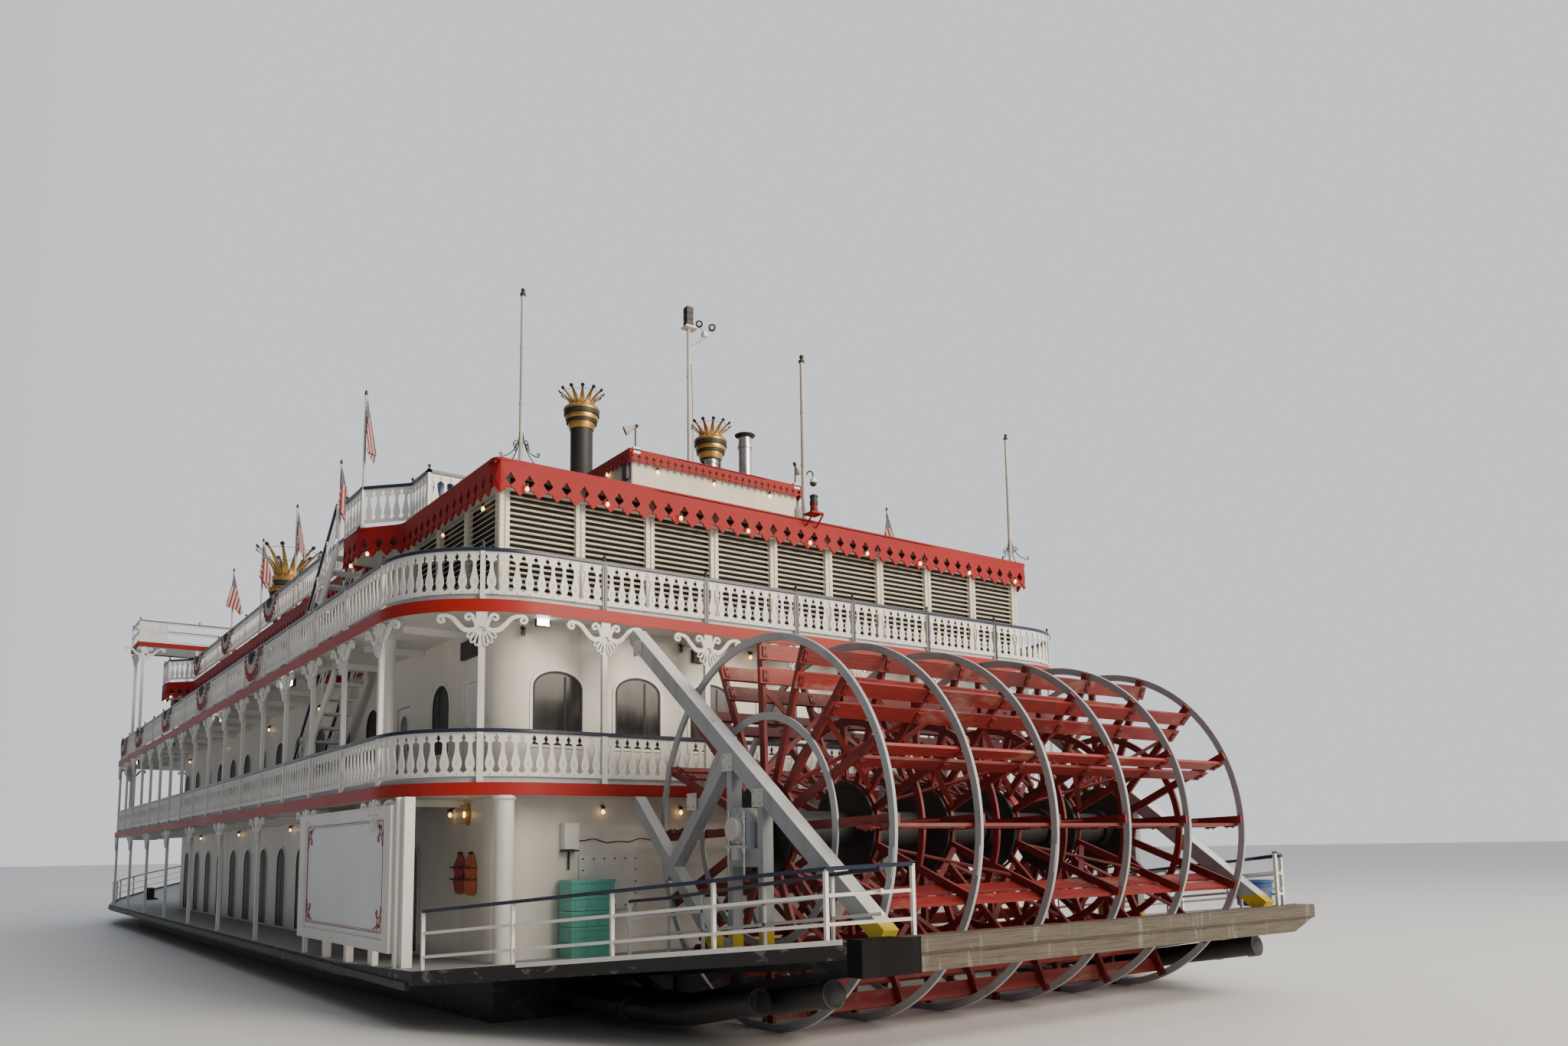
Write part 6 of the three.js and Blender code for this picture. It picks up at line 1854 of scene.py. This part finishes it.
def roof_gear():
    """Lamps and a bent pipe on the masts, horns, boxes and two pipes on the cabin roof, the stern light."""
    white, dark, steel, horn, red, pale = (Mesh() for _ in range(6))
    across_sight = np.cross(SIGHT_RIGHT, UP)

    # Top of the antenna mast: three stacked rings, an arm with two lamps, a stay and a bent pipe.
    head = np.array([*ANTENNA_MAST, -0.06])
    for z in (10.33, 10.43, 10.53):
        dark.add(box_list([(-0.055, -0.055, 0, 0.055, 0.055, 0.085),
                           (-0.048, -0.048, 0.085, 0.048, 0.048, 0.1)], head + z * UP))
    arm = beside(head, (0.24, 0.0))
    white.add(box_list([(-0.08, -0.12, 10.30, 0.08, 0.08, 10.325)], head))
    white.add(box_list([(-0.04, -0.04, 10.17, 0.04, 0.04, 10.24)], arm))
    white.add(bars(head + 10.02 * UP, beside(head, (0.27, 10.18)), 0.03, 0.03))
    white.add(rods(head + 9.72 * UP, beside(head, (0.20, 10.12)), 0.010))
    toward = np.array([-0.80, 0.60, -0.12])
    for lens in (beside(head, (0.16, 10.37)), beside(head, (0.35, 10.31))):
        white.add(rods(lens - 0.10 * toward, lens, 0.028, 0.052, sides=24))
        dark.add(rods(lens, lens + 0.012 * toward, 0.055, sides=24))
        pale.add(rods(lens + 0.012 * toward, lens + 0.016 * toward, 0.030, sides=20))
        white.add(rods(lens - 0.05 * toward, arm + 10.22 * UP, 0.012))
    z = np.linspace(9.75, 7.83, 24)
    stay = np.stack([0.035 + 0.02 * np.sin((z - 7.8) * 1.6), z], 1)
    dark.add(sweep(beside(head, stay), circle(0.0055, 6), AHEAD))
    pipe_foot = head + [0.06, 0.03, 0.0]
    elbow = curve_through([(0.0, 7.81), (0.01, 7.95), (0.05, 8.09), (0.14, 8.19), (0.26, 8.24)], 5)
    white.add(sweep(beside(pipe_foot, elbow), circle(0.035, 16), across_sight))
    dark.add(turned([(0.05, 0.0), (0.055, 0.05), (0.07, 0.06), (0.07, 0.07), (0.02, 0.10)],
                    beside(pipe_foot, (0.29, 8.20)), 20))

    # Pipes on the cabin roof: a short one and the capped exhaust.
    steel.add(turned([(0.09, 0), (0.09, 0.34), (0.105, 0.345), (0.105, 0.375), (0.09, 0.38), (0.09, 0.40),
                      (0.078, 0.40), (0.078, 0.1)], (-10.40, -0.34, 7.811), 32))
    exhaust = -10.12, -1.14, 8.80
    steel.add(turned([(0.1, -0.99), (0.1, -0.165), (0.116, -0.16), (0.116, -0.125), (0.1, -0.12), (0.1, 0.0),
                      (0.03, 0.002)], exhaust, 32))
    dark.add(turned([(0.03, 0.001), (0.10, 0.005), (0.152, 0.035), (0.158, 0.050), (0.150, 0.052),
                     (0.09, 0.035), (0.002, 0.03)], exhaust, 32))

    # Horns and boxes at the cabin roof's after corners.
    for side, _ in SIDES:
        back = np.array([CABIN_EAVE[0] + 0.045, side * (CABIN_EAVE[1] - 0.11), 8.13])
        aim = np.array([0.42, side * 0.78, -0.42])
        dark.add(rods(back - 0.37 * UP, back - 0.01 * UP, 0.010))
        for mesh, start, stop, r0, r1, sides in (
                (horn, 0.0, 0.06, 0.022, 0.03, 24), (horn, 0.06, 0.155, 0.03, 0.066, 24),
                (dark, -0.04, 0.0, 0.02, 0.026, 16), (dark, 0.155, 0.160, 0.060, 0.060, 24)):
            mesh.add(rods(back + start * aim, back + stop * aim, r0, r1, sides))
        eave = np.array([CABIN_EAVE[0], side * CABIN_EAVE[1], 0.0])
        inward = -side * np.array([0.06, 0.11])
        dark.add(box_list([(0.11, inward[0] - 0.05, 7.43, 0.23, inward[0] + 0.05, 7.65)], eave))
        white.add(box_list([(0.0, inward[1] - 0.05, 7.752, 0.11, inward[1] + 0.05, 7.84)], eave))

    # Stern mast: a gooseneck lamp and a lidded pot.
    foot = np.array([*STERN_LANTERN_MAST, 0.0])
    goose = curve_through([(0.02, 7.19), (0.05, 7.245), (0.085, 7.262), (0.112, 7.235), (0.118, 7.18)], 5)
    dark.add(sweep(beside(foot, goose), circle(0.009, 8), across_sight))
    shade = beside(foot, (0.118, 7.185))
    white.add(turned([(0.012, 0.0), (0.044, -0.03), (0.047, -0.075), (0.04, -0.078)], shade, 20))
    dark.add(turned([(0.004, -0.125), (0.032, -0.11), (0.046, -0.086), (0.046, -0.078)], shade, 20))
    white.add(turned([(0.04, 0.0), (0.052, 0.02), (0.052, 0.15), (0.035, 0.20), (0.01, 0.21)],
                     beside(foot, (-0.075, 6.607)), 20))

    # Stern light on its bracket at the roof's edge.
    lamp = np.array([-13.155, -0.04, 6.615])
    red.add(box_list([(-0.08, -0.09, 0.035, 0.10, 0.09, 0.055)], lamp))
    for y in (-0.085, 0.07):
        red.add(bars(lamp + [-0.075, y, 0.034], lamp + [0.066, y, -0.10], 0.014, 0.02))
    dark.add(turned([(0.052, 0.056), (0.052, 0.09), (0.046, 0.092), (0.046, 0.155), (0.052, 0.158),
                     (0.052, 0.20), (0.046, 0.202), (0.046, 0.25), (0.054, 0.255), (0.050, 0.275),
                     (0.012, 0.295)], lamp, 24))
    red.add(turned([(0.047, 0.10), (0.047, 0.15)], lamp, 24))
    white.piece("mast_gear", "white", smooth=40)
    dark.piece("mast_lamps", "black", smooth=40)
    steel.piece("roof_pipes", "steel", smooth=35, replaces=["steel_exhaust"])
    horn.piece("roof_horns", "horn", smooth=40)
    red.piece("light_bracket", "red", smooth=40)
    pale.piece("mast_lamp_faces", "panel", slot="glass")


def stern_post_strips():
    """Navy strips down the stern faces of the top railing's posts."""
    y = np.append(STERN_Y, CORNER_POST_Y)
    x = DECK_AFT + RAIL_INSET - 0.0215 + np.where(y == CORNER_POST_Y, 0.174, 0.0)
    mesh = Mesh()
    for side, _ in SIDES:
        mesh.add(boxes(rows(x - 0.012, side * y - 0.014, DECK3_Z + 0.01),
                       rows(x, side * y + 0.014, DECK3_Z + RAIL_HEIGHT - CAP_HIGH)))
    mesh.piece("stern_post_strips", "navy")


def wings():
    """Bridge wings: red edge, navy rail, sawn end panel, brackets under the floor."""
    red, white, caps = Mesh(), Mesh(), Mesh()
    z, top = 7.70, 8.225
    holes = [[(u - 0.05, w), (u, w + 0.035), (u + 0.05, w), (u, w - 0.035)] for u in (-0.18, 0.0, 0.18)
             for w in (7.79, 7.88, 7.97, 8.06, 8.14)]
    panel = sawn(oblong(0.27, 7.72, 8.20)(0), holes, 0.018)
    for side, name in SIDES:
        low, high = corners(f"bridge_wing_{name}")
        x0, x1, tip = low[0], high[0], HALF_BEAM + 0.006
        for x, y0, y1, x2 in ((x0 - 0.012, 1.42, tip, x0), (x1, 1.42, tip, x1 + 0.012),
                              (x0, tip - 0.009, tip + 0.003, x1)):
            red.add(boxes([x, side * y0, z - 0.10], [x2, side * y1, z + 0.012]))
        y = side * np.array([1.45, 4.86, 4.86, 1.45])
        path = rows(np.array([x0, x0, x1, x1]) + [0.02, 0.02, -0.02, -0.02], y, top)
        caps.add(bars(path[:-1], path[1:], 0.046, 0.034))
        caps.add(turned(finial(), [*(path[1:3] + 0.01 * UP), (x0 + 0.02, side * 3.6, top + 0.01)], 12))
        aft, out, head = (-1, 0, 0), (0, side, 0), z - 0.101
        white.add(on_wall(panel, (x0 + 0.012, side * 4.55, 0), aft))
        white.add(on_wall(BRACKET, (x0 + 0.02, side * 4.74, head), aft))
        white.add(on_wall(BRACKET, rows([x0 + 0.35, x1 - 0.35], side * 4.84, head), out))
    red.piece("wing_edges", "red")
    white.piece("wing_panels", "white")
    caps.piece("wing_rails", "navy", smooth=40)


def stair_rails():
    """Handrails both sides of the two port stairs: posts, three wires and a navy rail."""
    white, caps = Mesh(), Mesh()
    for foot, head, z0, z1, lanes in ((-6.93, -9.03, DECK2_Z, DECK3_Z, (4.085, 4.455)),
                                      (-7.15, -8.975, DECK3_Z, ROOF_Z, (4.115, 4.455))):
        for y in lanes:
            a, b = np.array([foot + 0.05, y, z0]), np.array([head + 0.10, y, z1])
            at = np.linspace(a, b, 5)
            white.add(boxes(at - [0.014, 0.012, -0.06], at + [0.014, 0.012, 0.5]))
            for h in (0.16, 0.29, 0.42):
                white.add(bars(a + h * UP, b + h * UP, 0.012, 0.012))
            caps.add(bars(a + 0.51 * UP, b + 0.51 * UP, 0.040, 0.028))
    white.piece("stair_rail_bars", "white")
    caps.piece("stair_rail_caps", "navy")


def deck_beams():
    """Joists under the overhanging decks, from the house walls to the edge, and a rubbing strake."""
    joists, strake = Mesh(), Mesh()
    half, deep = 0.03, 0.07
    bays = SIDE_X[(SIDE_X > -12.5) & (SIDE_X < DECK_FORE - 1.0)]
    stair_well = np.abs(bays + 8.285) > 0.75
    for side, _ in SIDES:
        for x, z in ((bays, DECK2_LOW[2]), (bays[stair_well], DECK3_LOW[2])):
            wall_y = side * (HOUSE_HIGH[1] + 0.002)
            joists.add(boxes(rows(x - half, wall_y, z - deep), rows(x + half, side * 4.62, z)))
        strake.add(boxes([-13.3, side * (HALF_BEAM - 0.018), 1.36], [9.4, side * (HALF_BEAM + 0.026), 1.43]))
        y = side * STERN_Y
        joists.add(boxes(rows(DECK_AFT + 0.11, y - half, DECK3_LOW[2] - deep),
                         rows(HOUSE_LOW[0] - 0.002, y + half, DECK3_LOW[2])))
    joists.piece("deck_joists", "white")
    strake.piece("rubbing_strakes", "hull")


# Carried-over solids.

NODES_BY_FINISH = {
    "hull": ["hull", *both("rudder"), *both("fantail_strut")],
    "deck_grey": ["main_deck", *both("fantail")],
    "deck_edge": ["deck_2", "deck_3", "deck_3_aft", "deck_3_stair_well"],
    "house": ["house_main_deck", "house_deck_2", "house_deck_3", "pilothouse"],
    "cream": ["roof_house"], "red": ["pilothouse_roof"], "beam": ["stern_beam"], "truss": both("wheel_truss"),
}


def dress_nodes():
    """Gives every carried-over node its finish, white unless the table names another."""
    of_node = {node: finish for finish, nodes in NODES_BY_FINISH.items() for node in nodes}
    for name, obj in frame["nodes"].items():
        material, _ = FINISHES[of_node.get(name, "white")]
        if obj.data.materials:
            obj.data.materials[0] = material
        else:
            obj.data.materials.append(material)


# Camera, floor and light.

def add_camera():
    """The photograph's viewpoint: position, heading 36.79 degrees to starboard of the bow, 6.8 degrees up."""
    yaw, pitch, roll = (math.radians(a) for a in (36.79, 6.80, -0.95))
    ahead = np.array([math.cos(yaw), -math.sin(yaw), 0.0])
    right = np.array([-math.sin(yaw), -math.cos(yaw), 0.0])
    sight = math.cos(pitch) * ahead + math.sin(pitch) * UP
    over = -math.sin(pitch) * ahead + math.cos(pitch) * UP
    x_axis = math.cos(roll) * right + math.sin(roll) * over
    y_axis = -math.sin(roll) * right + math.cos(roll) * over
    data = bpy.data.cameras.new("camera")
    data.lens, data.sensor_width, data.shift_y = 25.72, 36.0, 0.1226
    data.clip_end = 1000.0
    camera = bpy.data.objects.new("camera", data)
    turn = Matrix([list(v) for v in zip(x_axis, y_axis, -sight)]).to_4x4()
    camera.matrix_world = Matrix.Translation((-23.63, 8.306, 2.576)) @ turn
    bpy.context.scene.collection.objects.link(camera)
    bpy.context.scene.camera = camera


def add_floor():
    """A pale floor at the waterline, far larger than the boat."""
    size = 400.0
    mesh = Mesh().add(boxes([-size, -size, WATER_Z - 0.1], [size, size, WATER_Z]))
    mesh.piece("floor", "floor", body=None)


def add_light(name, place, aim, size, power, colour):
    data = bpy.data.lights.new(name, "AREA")
    data.shape, data.size, data.energy, data.color = "SQUARE", size, power, colour
    light = bpy.data.objects.new(name, data)
    sight = Vector(aim) - Vector(place)
    light.matrix_world = Matrix.Translation(place) @ sight.to_track_quat("-Z", "Y").to_matrix().to_4x4()
    bpy.context.scene.collection.objects.link(light)


SKY_STRENGTH, SKY_PORT = 0.95, 0.10


def light_room():
    """Soft studio light: a warm broad key from astern, a faint cool fill from port and a pale surround
    that darkens to port, so that the port side stands in shade as in the photograph."""
    world = bpy.data.worlds.new("surround")
    sky = Nodes(world, "Generated")
    _, to_port, _ = sky.axes()
    strength = SKY_STRENGTH - to_port.over(0.22, 0.36) * (SKY_STRENGTH - SKY_PORT)
    back = sky.add("Background", (), {"Color": (0.90, 0.94, 1.0, 1.0), "Strength": strength})
    sky.add("OutputWorld", (), {"Surface": back})
    bpy.context.scene.world = world
    add_light("key_astern", (-48, -14, 22), (-12, -1, 4), 26, 26000, (1.0, 0.86, 0.68))
    add_light("fill_port", (-20, 45, 18), (-5, 0, 4), 30, 200, (0.86, 0.92, 1.0))


for make in (add_camera, add_floor, light_room, dress_nodes, deck_railings, main_deck_posts, deck_bands,
             louvres, roof, cabin_roof, wheel, stacks, stern_windows, side_windows, plain_doors,
             cabin_door_panes, pilothouse_windows, roof_rails, masts, flags, bunting, lamps, floodlights,
             fantail_rails, fantail_lines, exhaust_tips, foredeck, life_jackets, bearings, sign,
             stern_fittings, roof_gear, wings, stair_rails, deck_beams, stern_post_strips):
    make()
